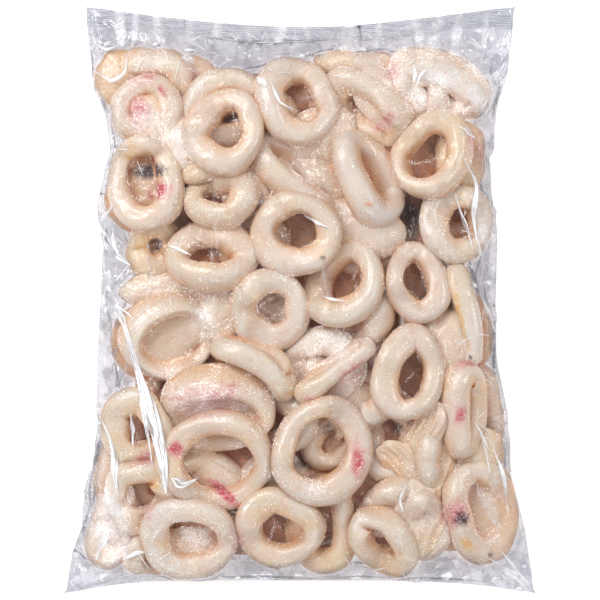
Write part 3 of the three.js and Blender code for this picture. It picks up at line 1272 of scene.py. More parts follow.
# Scraps and folded flaps that fill gaps under the upper rings.
SCRAPS = (
    Scrap((-102, 124, 13), (26, 34, 14), 10, rime=0.2, tone=0.8),
    Scrap((-84, 104, 20), (26, 24, 12), 0, (0, 4), kind=STAINED, rime=0.45, tone=0.6),
    Scrap((-46, -63, 27), (50, 26, 14), 5, (0, 20), kind=STAINED, rime=0.5, tone=0.5),
    Scrap((-76, -18, 21), (42, 38, 12), 30, kind=FROSTED, rime=0.3, tone=0.6),
    Scrap((-86, 62, 13), (38, 32, 14), 90, kind=STAINED, rime=0.25, tone=0.8),
    Scrap((100, -118, 12), (34, 30, 12), 90, kind=STAINED, rime=0.3, tone=0.5),
    Scrap((67, -76, 29), (50, 20, 9), 66, (12, -22), 0.09, 2.2, FROSTED, 0.35, 0.8),
    Scrap((58, -91, 27), (34, 20, 8), -40, (-12, 18), 0.09, 2.0, FROSTED, 0.35, 0.9),
    Scrap((76, -92, 25), (34, 20, 8), 70, (0, 14), 0.09, 1.8, FROSTED, 0.35, 0.9),
    Scrap((69, -122, 23), (46, 30, 10), 80, (8, 10), 0.09, 2.4, FROSTED, 0.4, 0.7),
    Scrap((-104, -122, 10), (48, 26, 15), 78, (0, 10), 0.06, 1.0, FROSTED, 0.95, 0.3),
    Scrap((16, -42, 20), (34, 26, 14), -35, (6, -8), 0.04, 0.8, FROSTED, 0.5, 0.6),
    Scrap((37, 40, 25), (46, 34, 18), -20, rime=0.3, tone=0.35),
    Scrap((-64, 86, 22), (40, 32, 18), 60, (0, 5), kind=STAINED, rime=0.55, tone=0.5),
    Scrap((85, -24, 24), (40, 34, 15), 70, rime=0.25, tone=0.6),
    Scrap((-44, -4, 21), (44, 30, 18), 80, tone=0.45),
    Scrap((12, 92, 20), (40, 34, 16), 20, tone=0.6),
    Scrap((-14, -100, 18), (40, 30, 16), 10, tone=0.6),
    Scrap((-52, -96, 17), (54, 24, 14), -28, (0, 8), kind=STAINED, rime=0.3, tone=0.5),
    Scrap((33, -60, 22), (36, 30, 15), 0, rime=0.3, tone=0.75),
    Scrap((58, -110, 20), (36, 30, 15), 30, rime=0.35, tone=0.75),
    Scrap((100, -88, 18), (34, 26, 15), 80, rime=0.35, tone=0.85),
    Scrap((-30, 66, 22), (36, 34, 15), 0, rime=0.45, tone=0.45),
    Scrap((52, 112, 20), (48, 34, 16), -20, kind=STAINED, rime=0.6),
    Scrap((-79, 6, 21), (44, 22, 13), 5, kind=FROSTED, rime=0.55, tone=0.5),
    Scrap((-58, -138, 10), (42, 26, 13), 0, (0, 5), kind=DEEP, rime=0.6, tone=0.6),
    Scrap((12, 69, 18), (38, 26, 14), -35, (0, 5), kind=FROSTED, rime=0.45, tone=0.55),
    Scrap((-14, -8, 14), (34, 30, 15), 20, (6, 4), 0.08, 1.2, DEEP, 0.7, 0.9),
)

def blotches(tint: Tint, deep: bool, *rows: tuple[float, ...]) -> tuple[Stain, ...]:
    """Lists stains of one tint: each row is plan position, length, width, turn in degrees, and strength."""
    return tuple(Stain((x, y), size, turn, tint, strength, deep) for x, y, *size, turn, strength in rows)


STAINS = (
    *blotches(Tint.RED, False,
        (-77, 117, 9, 4, -60, 1.0), (-86, 124, 18, 10, 20, 0.5), (-90, 106, 14, 18, 0, 0.75),
        (-79, 61, 14, 9, 20, 1.1), (52, 127, 10, 14, 0, 0.5), (47, 99, 16, 8, 35, 0.65),
        (38, 54, 5, 6, 0, 0.3), (29, -41, 18, 8, 38, 0.7), (4, -55, 9, 7, 38, 0.3),
        (-52, -55, 42, 18, 8, 0.62), (-37, -48, 10, 8, 30, 0.5), (-60, -60, 14, 9, 0, 0.45),
        (92, -36, 14, 5, 10, 0.55), (89, -64, 7, 12, 0, 0.85), (32, -89, 9, 21, 5, 0.85),
        (33, -107, 8, 5, 35, 0.9), (-69, -83, 10, 9, -30, 1.1), (-86, -88, 16, 8, 30, 0.6),
        (-85, -117, 8, 18, 0, 0.4), (-42, -108, 22, 6, -42, 1.1), (-35, -135, 14, 26, 0, 0.3),
        (-50, -151, 26, 6, 0, 0.3), (87, -119, 15, 18, -40, 0.75), (98, 86, 10, 22, 20, 0.5)),
    *blotches(Tint.INK, False,
        (-80, 93, 8, 6, 0, 0.45), (-84, 72, 20, 8, 0, 1.3), (-40, 102, 9, 5, 30, 1.1),
        (-80, 31, 6, 7, 0, 1.2), (12.5, 23.5, 3.4, 3.4, 0, 0.8), (95, -32, 3, 4, 0, 0.9),
        (90, -122, 9, 10, -40, 1.0), (107, -142, 5, 3, 30, 0.9)),
    *blotches(Tint.AMBER, False,
        (-88, 32, 9, 16, 0, 0.7), (-94, 82, 8, 14, 0, 0.6), (12, 26, 7, 6, 0, 0.6),
        (38, 54, 6, 6, 0, 0.45), (88.5, -6, 3, 50, 14, 0.8), (-76, -136, 10, 8, 0, 0.5),
        (-8, -137, 12, 6, 0, 0.45), (94, -137, 16, 7, -40, 0.8), (-4, -52, 6, 5, 0, 0.6),
        (104, -48, 7, 12, 10, 0.7), (-82, -103, 9, 7, 30, 0.7), (-7, -20, 3, 3, 0, 0.3)),
    *blotches(Tint.RIME, False,
        (77, 115, 34, 20, -10, 0.6), (0, 66, 12, 26, 20, 0.5), (14, -26, 34, 20, 10, 0.9),
        (-50, -54, 36, 12, 10, 0.6), (-62, -128, 22, 12, -20, 1.0), (-86, 100, 20, 16, 0, 0.6),
        (-56, -11, 14, 16, 0, 1.0), (-72, 90, 22, 12, 0, 1.0), (-66, 82, 14, 18, 0, 0.8),
        (-103, -124, 18, 44, 0, 1.0), (68, -112, 22, 30, 0, 0.5), (-82, 135, 26, 14, 0, 0.5),
        (8, -105, 18, 12, 0, 0.8), (-18, -98, 16, 10, 0, 0.6)),
    # Dark patches low in the gaps: partly dark skin, partly painted shade of the deepest voids.
    *blotches(Tint.INK, True,
        (62, 48, 20, 26, 20, 1.0), (-27, 75, 14, 10, 0, 0.9), (16, 88, 12, 10, 0, 0.6),
        (-65, 45, 14, 8, 0, 0.5), (-54, 5, 12, 8, 0, 0.5), (-76, -47, 12, 9, 0, 0.6),
        (0, -92, 14, 10, 0, 0.6), (17, -72, 12, 10, 0, 0.6), (55, -70, 14, 12, 0, 0.7),
        (78, -78, 12, 10, 0, 0.6), (85, -3, 8, 26, 10, 0.8), (46, 38, 16, 14, 0, 0.8),
        (-9, -122, 16, 12, 0, 0.6)),
)


@dataclass
class Heap:
    """The frozen heap of rings."""

    ground: float = 0.5  # height of the film under the heap
    sink: float = 2.2  # how far touching rings press into each other
    cell: float = 2.0  # size of the height map's squares
    slant: float = 0.35  # how steeply the height map falls beside a point
    pitch: float = 41.0  # of the hidden first layer's rings
    rows: int = 6  # of that layer
    stretch: float = 1.05  # of its pitch sideways
    centre_y: float = -6.0
    stray: float = 4.0  # how far the rings are off their even places
    sizes: Pair = (40.0, 48.0)
    # Painted shade: the flesh is coloured darker deep under the heap's top, near the table and down each
    # ring's wall.
    fading: Pair = (5.0, 30.0)  # depth under the heap's top where the painted shade starts, and over how much
    near_table: Pair = (-24.0, 22.0)  # the same for the height over the table, taken downwards
    flank: Pair = (0.0, 11.0)  # the same for the side of a ring's wall
    down: Pair = (0.6, 8.0)  # the same for the painted warm shade down a ring's sides
    darkness: Triple = (0.36, 0.44, 0.08)  # shares of table, depth and flank in the flesh's painted shade
    darkest: float = 0.8
    icing: Triple = (0.12, 0.25, 0.28)  # their shares in its rime
    rime_stain: float = 0.75
    seed: int = 11
    laid: list[Laid] = field(default_factory=list)

    def __post_init__(self) -> None:
        """Starts with a bare table."""
        self.origin = np.array((-160.0, -180.0))
        self.heights = np.full((161, 181), self.ground)

    def cells(self, points: Array) -> Arrays:
        """Returns the height map's squares that points stand over."""
        spots = np.rint((points[..., :2] - self.origin) / self.cell).astype(int)
        return spots[..., 0], spots[..., 1]

    def _mound(self, points: Array) -> None:
        """Raises the height map to the top of some points.

        Args:
            points: The points.
        """
        column, row = self.cells(points)
        top = points[..., 2]
        for dx, dy in ((0, 0), (1, 0), (-1, 0), (0, 1), (0, -1)):
            lowered = top - self.slant * (abs(dx) + abs(dy)) * self.cell
            np.maximum.at(self.heights, (column + dx, row + dy), lowered)

    def settle(self, ring: SquidRing) -> None:
        """Lays one ring on the heap, where it sags a little between its supports.

        Args:
            ring: The ring to lay.
        """
        points, inner = ring.surface(self.seed + len(self.laid))
        ground = self.heights[self.cells(points)]
        gap = (ground - points[..., 2]).max(axis=1)
        steps = ring.around_steps
        held = np.maximum.reduce([np.roll(gap, k) for k in range(-2, 3)])
        held = around(held, steps // 9)
        lift = np.maximum(held, held.max() - ring.give)
        lift = around(lift, steps // 10) - self.sink
        lift += max(0.0, self.ground - (points[..., 2] + lift[:, None]).min())
        points[..., 2] += lift[:, None]
        self._mound(points)
        chance = np.random.default_rng(1000 + len(self.laid))
        tone = float(np.clip(ring.tone + chance.normal(0.0, 0.07), 0.0, 1.0))
        self.laid.append(Laid(ring, points, inner, tone, chance.uniform(0.0, 0.55)))

    def fill_bottom(self) -> None:
        """Lays the hidden first layer on the table, staggered row by row."""
        chance = np.random.default_rng(self.seed)
        for row in range(self.rows):
            y = (row - (self.rows - 1) / 2) * self.pitch + self.centre_y
            columns = 4 if row % 2 else 5
            for column in range(columns):
                x = (column - (columns - 1) / 2) * self.pitch * self.stretch
                spot = tuple(at + chance.uniform(-self.stray, self.stray) for at in (x, y))
                size = chance.uniform(*self.sizes)
                self.settle(SquidRing(
                    spot, (size, size * chance.uniform(0.8, 1.0)), chance.uniform(0, 180),
                    chance.uniform(0, 10), chance.uniform(0, 360), (12, 12), DEEP,
                    rime=0.25, tone=0.4, hold=0.02, around_steps=48, section_steps=16))

    def lay_all(self, outline: "Outline") -> None:
        """Builds the heap from the table up and packs it into the bag.

        Args:
            outline: Plan of the bag.
        """
        self.fill_bottom()
        for ring in LOW_RINGS:
            self.settle(replace(ring, hold=0.10))
        for ring in UPPER_RINGS:
            self.settle(ring)
        Packing(self.laid, outline).run()
        for scrap in SCRAPS:
            points, inner = scrap.surface(self.seed + len(self.laid))
            self.laid.append(Laid(scrap, points, inner, scrap.tone))
        self.heights[:] = self.ground
        for laid in self.laid:
            np.maximum(laid.points[..., 2], self.ground, out=laid.points[..., 2])
        for laid in self.laid:
            self._mound(laid.points)

    def include(self, core: "Core") -> None:
        """Raises the height map to the frozen mass."""
        x, y = (start + self.cell * np.arange(count) for start, count in zip(self.origin, self.heights.shape))
        np.maximum(self.heights, core.top(x[:, None], y[None, :]), out=self.heights)

    def height_at(self, x: Array, y: Array) -> Array:
        """Returns the heap's height over plan positions."""
        return self.heights[self.cells(np.stack((x, y), axis=-1))]

    def channels(self, laid: Laid) -> tuple[Array, Array, Array]:
        """Works out one ring's painted attributes, with painted shade deep in the heap, near the table and
        down its sides.

        Args:
            laid: The ring.

        Returns:
            The channels of "flesh", of "marks" and of "side".
        """
        points = laid.points
        height = points[..., 2]
        top = self.heights[self.cells(points)]
        below = height.max(axis=1, keepdims=True) - height
        buried, low = ramp(top - height, *self.fading), ramp(-height, *self.near_table)
        flank, down = ramp(below, *self.flank), ramp(below, *self.down)
        shares = self.darkness
        # Painted shade: how much darker the flesh is coloured, from depth, nearness to the table and flank.
        depth = np.clip(shares[0] * low + shares[1] * buried + shares[2] * flank, 0.0, self.darkest)
        shares = self.icing
        rime = laid.shape.rime + shares[2] * flank + shares[1] * buried + shares[0] * low
        # Painted shade: the hollow's tan grows down the wall.
        inner = laid.inner * (0.15 + 0.85 * flank)
        marks = np.zeros((*height.shape, 4))
        shown, hidden = ease((height - top + 11.0) / 4.0), ease((28.0 - height) / 6.0)
        for stain in STAINS:
            channel = stain.tint.value
            strength = stain.share(points) * (hidden if stain.deep else shown)
            marks[..., channel] = np.maximum(marks[..., channel], strength)
        rime = np.clip(rime + self.rime_stain * marks[..., Tint.RIME.value], 0.0, 1.0)
        marks[..., 3] = laid.blush
        flesh = np.stack((np.full_like(height, laid.tone), inner, depth, rime), axis=-1)
        # Painted shade: the warm flank colour grows down from the ring's top.
        side = np.stack((down, down, down, down), axis=-1)
        return laid.spread(flesh), laid.spread(marks), laid.spread(side)

    @staticmethod
    def _inside(laid: Laid, core: "Core") -> bool:
        """Returns whether the frozen mass swallows a ring."""
        points = laid.points
        return bool((points[..., 2] < core.top(points[..., 0], points[..., 1])).mean() > 0.97)

    def build(self, material: Material, core: "Core") -> list[Object]:
        """Joins the rings of each kind into one piece.

        Args:
            material: The flesh.
            core: The frozen mass, whose hidden rings aren't made.

        Returns:
            The pieces.
        """
        pieces = []
        for kind in Kind:
            rings = Gathered()
            for laid in self.laid:
                if laid.shape.kind is kind and not self._inside(laid, core):
                    rings.add(laid.skin(), *laid.faces(), *self.channels(laid))
            pieces.append(rings.make(kind.value, material, "flesh", "marks", "side"))
        return pieces


@dataclass
class Core:
    """The frozen mass that the visible rings are stuck to, which shows only deep in the gaps."""

    half_width: float = 93.0
    half_length: float = 136.0
    centre_y: float = -8.0
    crown: float = 15.5
    shoulder: float = 8.0
    floor: float = 0.7
    thinnest: float = 0.2  # at its rim
    slopes: Pair = (3.6, 4.2)  # how steeply its middle rises from its sides and from its ends
    rim_slopes: Pair = (12.0, 16.0)
    lump: float = 1.7
    squareness: int = 8  # of its plan
    step: float = 2.0

    def top(self, x: Array, y: Array) -> Array:
        """Works out its lumpy upper side.

        Args:
            x: Places sideways.
            y: Places lengthways.

        Returns:
            Its height at each place.
        """
        across = np.abs(x / self.half_width)
        along = np.abs((y - self.centre_y) / self.half_length)
        inside, rim = (ease((1 - across) * side) * ease((1 - along) * end)
                       for side, end in (self.slopes, self.rim_slopes))
        lumps = np.sin(x * 0.15 + 1.0) * np.sin(y * 0.17) + 0.7 * np.sin(x * 0.29 - y * 0.23 + 2.0)
        lumps += 0.5 * np.sin(x * 0.61 + y * 0.47)
        height = self.shoulder + (self.crown - self.shoulder) * inside + self.lump * lumps
        return self.floor + self.thinnest + height * rim

    def build(self, material: Material) -> Object:
        """Makes the slab with its lumpy top.

        Args:
            material: The frozen mass.

        Returns:
            The piece.
        """
        columns = int(2 * self.half_width / self.step) + 1
        rows = int(2 * self.half_length / self.step) + 1
        across, along = np.linspace(-1, 1, columns)[None, :], np.linspace(-1, 1, rows)[:, None]
        power = self.squareness
        x = across * self.half_width * (1 - np.abs(along) ** power * 0.25)
        y = along * self.half_length * (1 - np.abs(across) ** power * 0.12) + self.centre_y
        top = self.top(x, y)
        border = (np.abs(across) == 1) | (np.abs(along) == 1)
        top = np.where(border, self.floor + self.thinnest, top)
        upper = np.stack((x, y, top), axis=-1).reshape(-1, 3)
        lower = np.stack((x, y, np.full_like(x, self.floor)), axis=-1).reshape(-1, 3)
        sheet = quads(rows, columns, False, False)
        count = rows * columns
        index = np.arange(count).reshape(rows, columns)
        edge = join((index[0, :-1], index[:-1, -1], index[-1, :0:-1], index[:0:-1, 0]))
        beyond = np.roll(edge, -1)
        wall = np.stack((edge + count, beyond + count, beyond, edge), axis=1)
        faces = join((sheet[:, ::-1], sheet + count, wall))
        points = join((upper, lower))
        piece = make_piece("frozen_mass", points, faces, finish=material)
        marks = np.zeros((len(points), 4))
        # Partly painted shade: the deep ink patches darken the mass in the gaps.
        for stain in (one for one in STAINS if one.deep):
            marks[:, Tint.INK.value] = np.maximum(marks[:, Tint.INK.value], stain.share(points))
        paint(piece, "marks", marks)
        return piece


@dataclass
class FrostGrains:
    """Ice crystals on the rings: small solid splinters, strewn more thickly where there is more rime."""

    name: str
    spacing: float  # least distance of two crystals
    density: float  # crystals on a square metre of solid rime
    smallest: float
    largest: float
    seed: int
    lowest: float = 13.0  # height under which no crystal shows
    deepest: float = 24.0  # how far under the heap's top crystals still show
    steepest: float = -0.2  # which way a face with crystals looks, -1 down to 1 up
    patches: float = 90.0  # waves of their thick and thin places in a metre

    def _crystal(self) -> Object:
        """Makes the one crystal that is repeated.

        Returns:
            The crystal, a metre in size.
        """
        points = np.array(((0.6, 0, -0.3), (-0.35, 0.5, -0.25), (-0.3, -0.5, -0.2), (0.05, 0.05, 0.55)))
        made = make_piece("crystal", points, np.array(((0, 2, 1), (0, 1, 3), (1, 2, 3), (2, 0, 3))))
        made.data.polygons.foreach_set("use_smooth", np.zeros(4, dtype=bool))
        return made

    def _strewn(self, grower: Grower, crystal: Object) -> NodeSocket:
        """Adds the nodes that strew the crystals.

        Args:
            grower: The tree.
            crystal: The crystal's object.

        Returns:
            The strewn crystals' socket.
        """
        nodes, given = grower.nodes, grower.given
        rime = grower.attribute("rime")
        at = nodes.add("GeometryNodeInputPosition").outputs[0]
        patches = nodes.step(nodes.noise(self.patches, 4.0, at), 0.42, 0.68)
        rime = nodes.times(nodes.times(rime, rime), patches)
        strewn = nodes.add("GeometryNodeDistributePointsOnFaces", {
            "Mesh": given["Geometry"], "Distance Min": given["Spacing"],
            "Density Max": given["Density"], "Density Factor": rime, "Seed": self.seed,
        }, distribute_method="POISSON")
        shape = nodes.add("GeometryNodeObjectInfo", {"Object": crystal}).outputs["Geometry"]
        turns = {"Max": (ANY_PHASE, ANY_PHASE, ANY_PHASE), "Seed": self.seed + 1}
        turn = nodes.add("FunctionNodeRandomValue", turns, data_type="FLOAT_VECTOR").outputs[0]
        luck = nodes.add("FunctionNodeRandomValue", {"Seed": self.seed + 2}, data_type="FLOAT").outputs[1]
        size = nodes.between(nodes.math("POWER", luck, 2.0), given["Smallest"], given["Largest"])
        placed = {"Points": strewn.outputs["Points"], "Instance": shape, "Rotation": turn, "Scale": size}
        return nodes.add("GeometryNodeInstanceOnPoints", placed).outputs[0]

    def _bed(self, heap: Heap) -> Object:
        """Joins the upper sides of the rings, with the amount of rime at each point.

        Args:
            heap: The rings.

        Returns:
            The object to strew crystals on.
        """
        bed, rimes = Gathered(), []
        for laid in heap.laid:
            skin, sides = laid.skin(), laid.faces()[0]
            middle = skin[sides].mean(axis=1)
            cover = heap.heights[heap.cells(middle)]
            normal = np.cross(skin[sides[:, 2]] - skin[sides[:, 0]], skin[sides[:, 3]] - skin[sides[:, 1]])
            seen = middle[:, 2] > np.maximum(self.lowest, cover - self.deepest)
            bed.add(skin, sides[seen & (normal[:, 2] > self.steepest)], ())
            rimes.append(heap.channels(laid)[0][:, 3])
        made = bed.make("crystal_bed", None)
        note(made.data, "rime", join(rimes))
        return made

    def build(self, heap: Heap, material: Material) -> Object:
        """Strews the crystals and makes them one mesh.

        Args:
            heap: The rings.
            material: The crystals' finish.

        Returns:
            The piece.
        """
        crystal = self._crystal()
        grower = Grower("strew_crystals", Density=self.density, Spacing=self.spacing * MM,
                        Smallest=self.smallest, Largest=self.largest)
        strewn = self._strewn(grower, crystal)
        piece = grower.grow(self.name, self._bed(heap), strewn, material)
        bpy.data.objects.remove(crystal)
        return piece


CRYSTALS = FrostGrains("ice_crystals", spacing=0.5, density=2.4e6, smallest=0.4, largest=0.75, seed=3)
DUST = FrostGrains("ice_dust", spacing=0.3, density=7.5e6, smallest=0.26, largest=0.46, seed=8)


@dataclass(frozen=True)
class Outline:
    """Plan of the sealed bag: its corners stay out while its filled middle draws in."""

    length: float = 331.0
    left: tuple[Pair, ...] = (
        (-165, 133), (-139, 127), (-119, 120), (-93, 116), (-76, 111), (-55, 114), (-29, 111), (3, 109),
        (24, 109), (44, 114), (57, 114), (84, 107), (101, 109), (127, 117), (165, 121))
    right: tuple[Pair, ...] = (
        (-165, 133), (-142, 129), (-127, 127), (-114, 123), (-104, 119), (-65, 118), (-35, 111),
        (-14, 110), (38, 111), (59, 108), (85, 106), (112, 111), (131, 116), (165, 122))
    top_sag: float = 13.0
    top_curve: float = 1.7
    bottom_sag: float = 8.5
    bottom_curve: int = 4

    def half_width(self, y: Array, side: int) -> Array:
        """Works out how far a side fold stands out.

        Args:
            y: Places along the bag.
            side: -1 for the left, 1 for the right.

        Returns:
            The distance from the bag's middle line at each place.
        """
        stations = self.right if side > 0 else self.left
        places, reaches = zip(*stations)
        return np.interp(y, places, reaches)

    def end_y(self, across: Array, top: bool) -> Array:
        """Works out where the edge of an end runs.

        Args:
            across: Places across it, -1 to 1.
            top: Whether it is the ribbed end.

        Returns:
            The edge's place along the bag, at each place across.
        """
        near = np.abs(across)
        if top:
            return self.length / 2 - self.top_sag * (1 - near ** self.top_curve)
        return -self.length / 2 + self.bottom_sag * (1 - near ** self.bottom_curve)


@dataclass
class HeapField:
    """Distance from the rings' surface at the nodes of a grid, for the film to rest on."""

    heap: Heap
    corner: Triple = (-130.0, -170.0, -6.0)  # the grid's lowest
    shape: tuple[int, int, int] = (131, 171, 34)
    cell: float = 2.0
    reach: float = 6.0  # greatest distance that is measured
    boxiness: float = 2.35  # how square a ring's section is, where 2 is round
    tiny: float = 1e-6

    def __post_init__(self) -> None:
        """Measures the distance from every ring."""
        self.low = np.array(self.corner)
        self.gap = np.full(self.shape, self.reach)
        for laid in self.heap.laid:
            if isinstance(laid.shape, SquidRing):
                box = laid.points.min(axis=(0, 1)), laid.points.max(axis=(0, 1))
                self._lower(*box, partial(self._from_ring, laid))
            else:
                at, reach = np.array(laid.shape.at), max(laid.shape.size) / 2
                self._lower(at - reach, at + reach, partial(self._from_scrap, laid.shape))
        slope = np.stack(np.gradient(self.gap), axis=-1)
        slope /= np.maximum(norm(slope, axis=-1, keepdims=True), self.tiny)
        packed = join((self.gap[..., None], slope), axis=-1)
        self.packed = packed.reshape(-1, 4).astype(np.float32)

    def _lower(self, lowest: Array, highest: Array, measure: Callable[[Array], Array]) -> None:
        """Lowers the distances in a box round something.

        Args:
            lowest: Its lowest corner.
            highest: Its highest corner.
            measure: Gives the distances of a list of places from it.
        """
        start = np.maximum(np.floor((lowest - self.reach - self.low) / self.cell).astype(int), 0)
        stop = np.ceil((highest + self.reach - self.low) / self.cell).astype(int) + 1
        stop = np.minimum(stop, self.shape)
        axes = [np.arange(a, b) * self.cell + base for a, b, base in zip(start, stop, self.low)]
        places = np.stack(np.meshgrid(*axes, indexing="ij"), axis=-1)
        block = tuple(slice(a, b) for a, b in zip(start, stop))
        distance = measure(places.reshape(-1, 3)).reshape(places.shape[:3])
        self.gap[block] = np.minimum(self.gap[block], distance)

    def _from_ring(self, laid: Laid, places: Array) -> Array:
        """Measures the distance from a ring, taken as a rounded box along its middle line.

        Args:
            laid: The ring.
            places: The places, in a list.

        Returns:
            A distance for each place, negative inside the ring.
        """
        points = laid.points
        middle = points.mean(axis=1)
        square = (places ** 2).sum(axis=1)[:, None] + (middle ** 2).sum(axis=1) - 2 * places @ middle.T
        nearest = square.argmin(axis=1)
        away = places - middle[nearest]
        aside = (points[:, 0] - middle)[nearest]
        upward = (points[:, points.shape[1] // 4] - middle)[nearest]
        right = (away * aside).sum(axis=1) / (aside ** 2).sum(axis=1)
        high = (away * upward).sum(axis=1) / (upward ** 2).sum(axis=1)
        power = self.boxiness
        share = (np.abs(right) ** power + np.abs(high) ** power) ** (1 / power)
        radial = norm(aside * right[:, None] + upward * high[:, None], axis=1)
        return radial - radial / np.maximum(share, 0.02)

    def _from_scrap(self, scrap: Scrap, places: Array) -> Array:
        """Measures the distance from a scrap, taken as an ellipsoid.

        Args:
            scrap: The scrap.
            places: The places, in a list.

        Returns:
            A distance for each place, negative inside the scrap.
        """
        x, y, z = (places - np.array(scrap.at)).T
        x, y = unturned(x, y, scrap.turn)
        lift = np.tan(np.radians(scrap.slope))
        half = np.array(scrap.size) / 2 + (1.0, 1.0, 1.0 + scrap.ruck)
        inward = np.stack((x, y, z - x * lift[0] - y * lift[1]), axis=1) / half
        near = norm(inward, axis=1) + self.tiny
        return near * (near - 1.0) / (norm(inward / half, axis=1) + self.tiny)

    def push_out(self, at: Array, clearance: float) -> Array:
        """Moves places that lie too near the rings straight out.

        Args:
            at: Places, three rows of a grid.
            clearance: Distance that is kept.

        Returns:
            Whether each place was moved, as a grid.
        """
        flat = at.reshape(3, -1)
        spot = (flat - self.low[:, None].astype(np.float32)) / self.cell
        spot = np.clip(spot, 0.0, np.array(self.shape)[:, None] - 1.01)
        base = spot.astype(np.int32)
        part = spot - base
        across, deep = self.shape[1] * self.shape[2], self.shape[2]
        index = base[0] * across + base[1] * deep + base[2]
        near = np.flatnonzero(self.packed[index, 0] < clearance + 2.5 * self.cell)
        part, index = part[:, near], index[near]
        total = np.zeros((len(near), 4), dtype=np.float32)
        for corner in range(8):
            bits = (corner >> 2 & 1, corner >> 1 & 1, corner & 1)
            weight = np.ones(len(near), dtype=np.float32)
            for bit, share in zip(bits, part):
                weight *= share if bit else 1.0 - share
            total += weight[:, None] * self.packed[index + bits[0] * across + bits[1] * deep + bits[2]]
        short = clearance - total[:, 0]
        hit = short > 0.0
        flat[:, near[hit]] += total[hit, 1:].T * short[hit]
        touched = np.zeros(flat.shape[1], dtype=bool)
        touched[near[hit]] = True
        return touched.reshape(at.shape[1:])


@dataclass(frozen=True)
class Fold:
    """A pleat or a whitened place of the upper film; its whiteness is partly painted highlight."""

    path: tuple[Pair, ...]  # plan places that it passes through
    width: float = 3.0
    height: float = 0.8  # how thick a pleat stands on the film
    white: float = 0.8  # painted whiteness, partly highlight, 0 to 1
    peak: float = 0.5  # where along it a pleat is widest, 0 to 1

    def stations(self) -> tuple[Array, Array, Array]:
        """Measures its path.

        Returns:
            The places that it passes through, the lengths between them, and the way up to each.
        """
        path = np.array(self.path, dtype=float)
        lengths = norm(np.diff(path, axis=0), axis=1)
        return path, lengths, join(((0.0,), np.cumsum(lengths)))

    def profile(self, x: Array, y: Array) -> Array:
        """Works out how near some plan places are to its crest.

        Args:
            x: Places sideways.
            y: Places lengthways.

        Returns:
            A number for each place, 1 on the crest and 0 beyond its width.
        """
        path, lengths, before = self.stations()
        best = np.zeros_like(x)
        for start, end, length, done in zip(path[:-1], path[1:], lengths, before):
            way = (end - start) / length
            along = np.clip((x - start[0]) * way[0] + (y - start[1]) * way[1], 0.0, length)
            away = np.hypot(x - start[0] - along * way[0], y - start[1] - along * way[1])
            place = (done + along) / before[-1]
            taper = np.sqrt(np.clip(4.0 * place * (1.02 - place), 0.0, 1.0))
            best = np.maximum(best, np.clip(1.0 - away / (0.5 * self.width * taper + 1e-3), 0.0, 1.0))
        return best


# Folds that stand out where the film is gathered, mostly along its left side.
FOLDS = (
    Fold(((-99, -12), (-90, -38), (-83, -60), (-77, -90), (-74, -108)), 8.5, 1.4, 1.0, 0.72),
    Fold(((-96, -24), (-88, -50), (-84, -78), (-82, -92)), 4.0, 1.0, 0.9, 0.5),
    Fold(((-104, 4), (-99, -10), (-95, -26)), 3.0, 0.8, 0.9),
    Fold(((-105, 40), (-104, 25), (-95, 19)), 4.6, 1.0, 1.0),
    Fold(((-113, 44), (-104, 53)), 2.6, 0.8, 0.9, 0.2),
    Fold(((-113, 44), (-107, 32), (-103, 25)), 2.6, 0.8, 0.9, 0.2),
    Fold(((-113, 44), (-109, 30), (-108, 16)), 2.0, 0.6, 0.8, 0.2),
    Fold(((-109, 3), (-102, 12), (-95, 20)), 2.6, 0.8, 0.95, 0.25),
    Fold(((-109, 3), (-101, -4), (-92, -11)), 2.6, 0.8, 0.95, 0.25),
    Fold(((-109, 3), (-104, -7), (-99, -14)), 2.4, 0.8, 0.9, 0.25),
    Fold(((-109, 3), (-106, -12), (-107, -28)), 2.2, 0.6, 0.7, 0.25),
    Fold(((-111, -66), (-104, -85), (-102, -108)), 4.0, 1.0, 0.9, 0.7),
    Fold(((-94, -62), (-93, -82)), 2.6, 0.7, 0.9),
    Fold(((-114, -146), (-111, -136), (-105, -128)), 4.0, 0.8, 0.95),
    Fold(((-100, -146), (-94, -142), (-86, -141)), 3.0, 0.8, 0.95),
    Fold(((-118, 130), (-105, 122), (-98, 127), (-97, 138)), 2.2, 0.6, 0.8),
    Fold(((-119, 146), (-108, 140), (-96, 146)), 2.0, 0.6, 0.7),
    Fold(((64, 131), (63.5, 121)), 2.6, 0.7, 1.0, 0.7),
    Fold(((70, 129), (64, 120)), 2.6, 0.7, 1.0, 0.3),
    Fold(((-16, 122), (-12, 110), (-3, 106)), 2.2, 0.6, 0.9, 0.3),
    Fold(((-23, 124), (-20, 119)), 3.4, 0.6, 1.0, 0.4),
    Fold(((91, 79), (99, 66), (96, 48), (100, 30), (105, 14)), 3.0, 0.8, 0.8, 0.4),
    Fold(((88, 97), (99, 90)), 2.4, 0.7, 0.8),
    Fold(((86, 60), (93, 40), (97, 28)), 2.0, 0.6, 0.8),
    Fold(((100, 5), (106, -8), (111, -20)), 2.4, 0.6, 0.8),
    Fold(((97, -66), (104, -82), (106, -96)), 2.2, 0.6, 0.7),
    Fold(((108, -80), (114, -100), (118, -122)), 2.6, 0.7, 0.8),
    Fold(((106, -145), (116, -152), (128, -162)), 2.6, 0.7, 0.9),
    Fold(((112, -140), (120, -150), (130, -161)), 2.0, 0.6, 0.8),
    Fold(((-72, -99), (-66, -102), (-57, -100)), 5.0, 0.9, 1.0, 0.3),
    Fold(((2, 47), (9, 43), (17, 40)), 1.8, 0.5, 0.9),
    Fold(((-75, 31), (-60, 25)), 1.8, 0.5, 0.9),
    Fold(((12, 2), (25, -1)), 1.8, 0.5, 0.8),
    Fold(((59, -104), (55, -112), (58, -118)), 2.4, 0.6, 0.9),
)
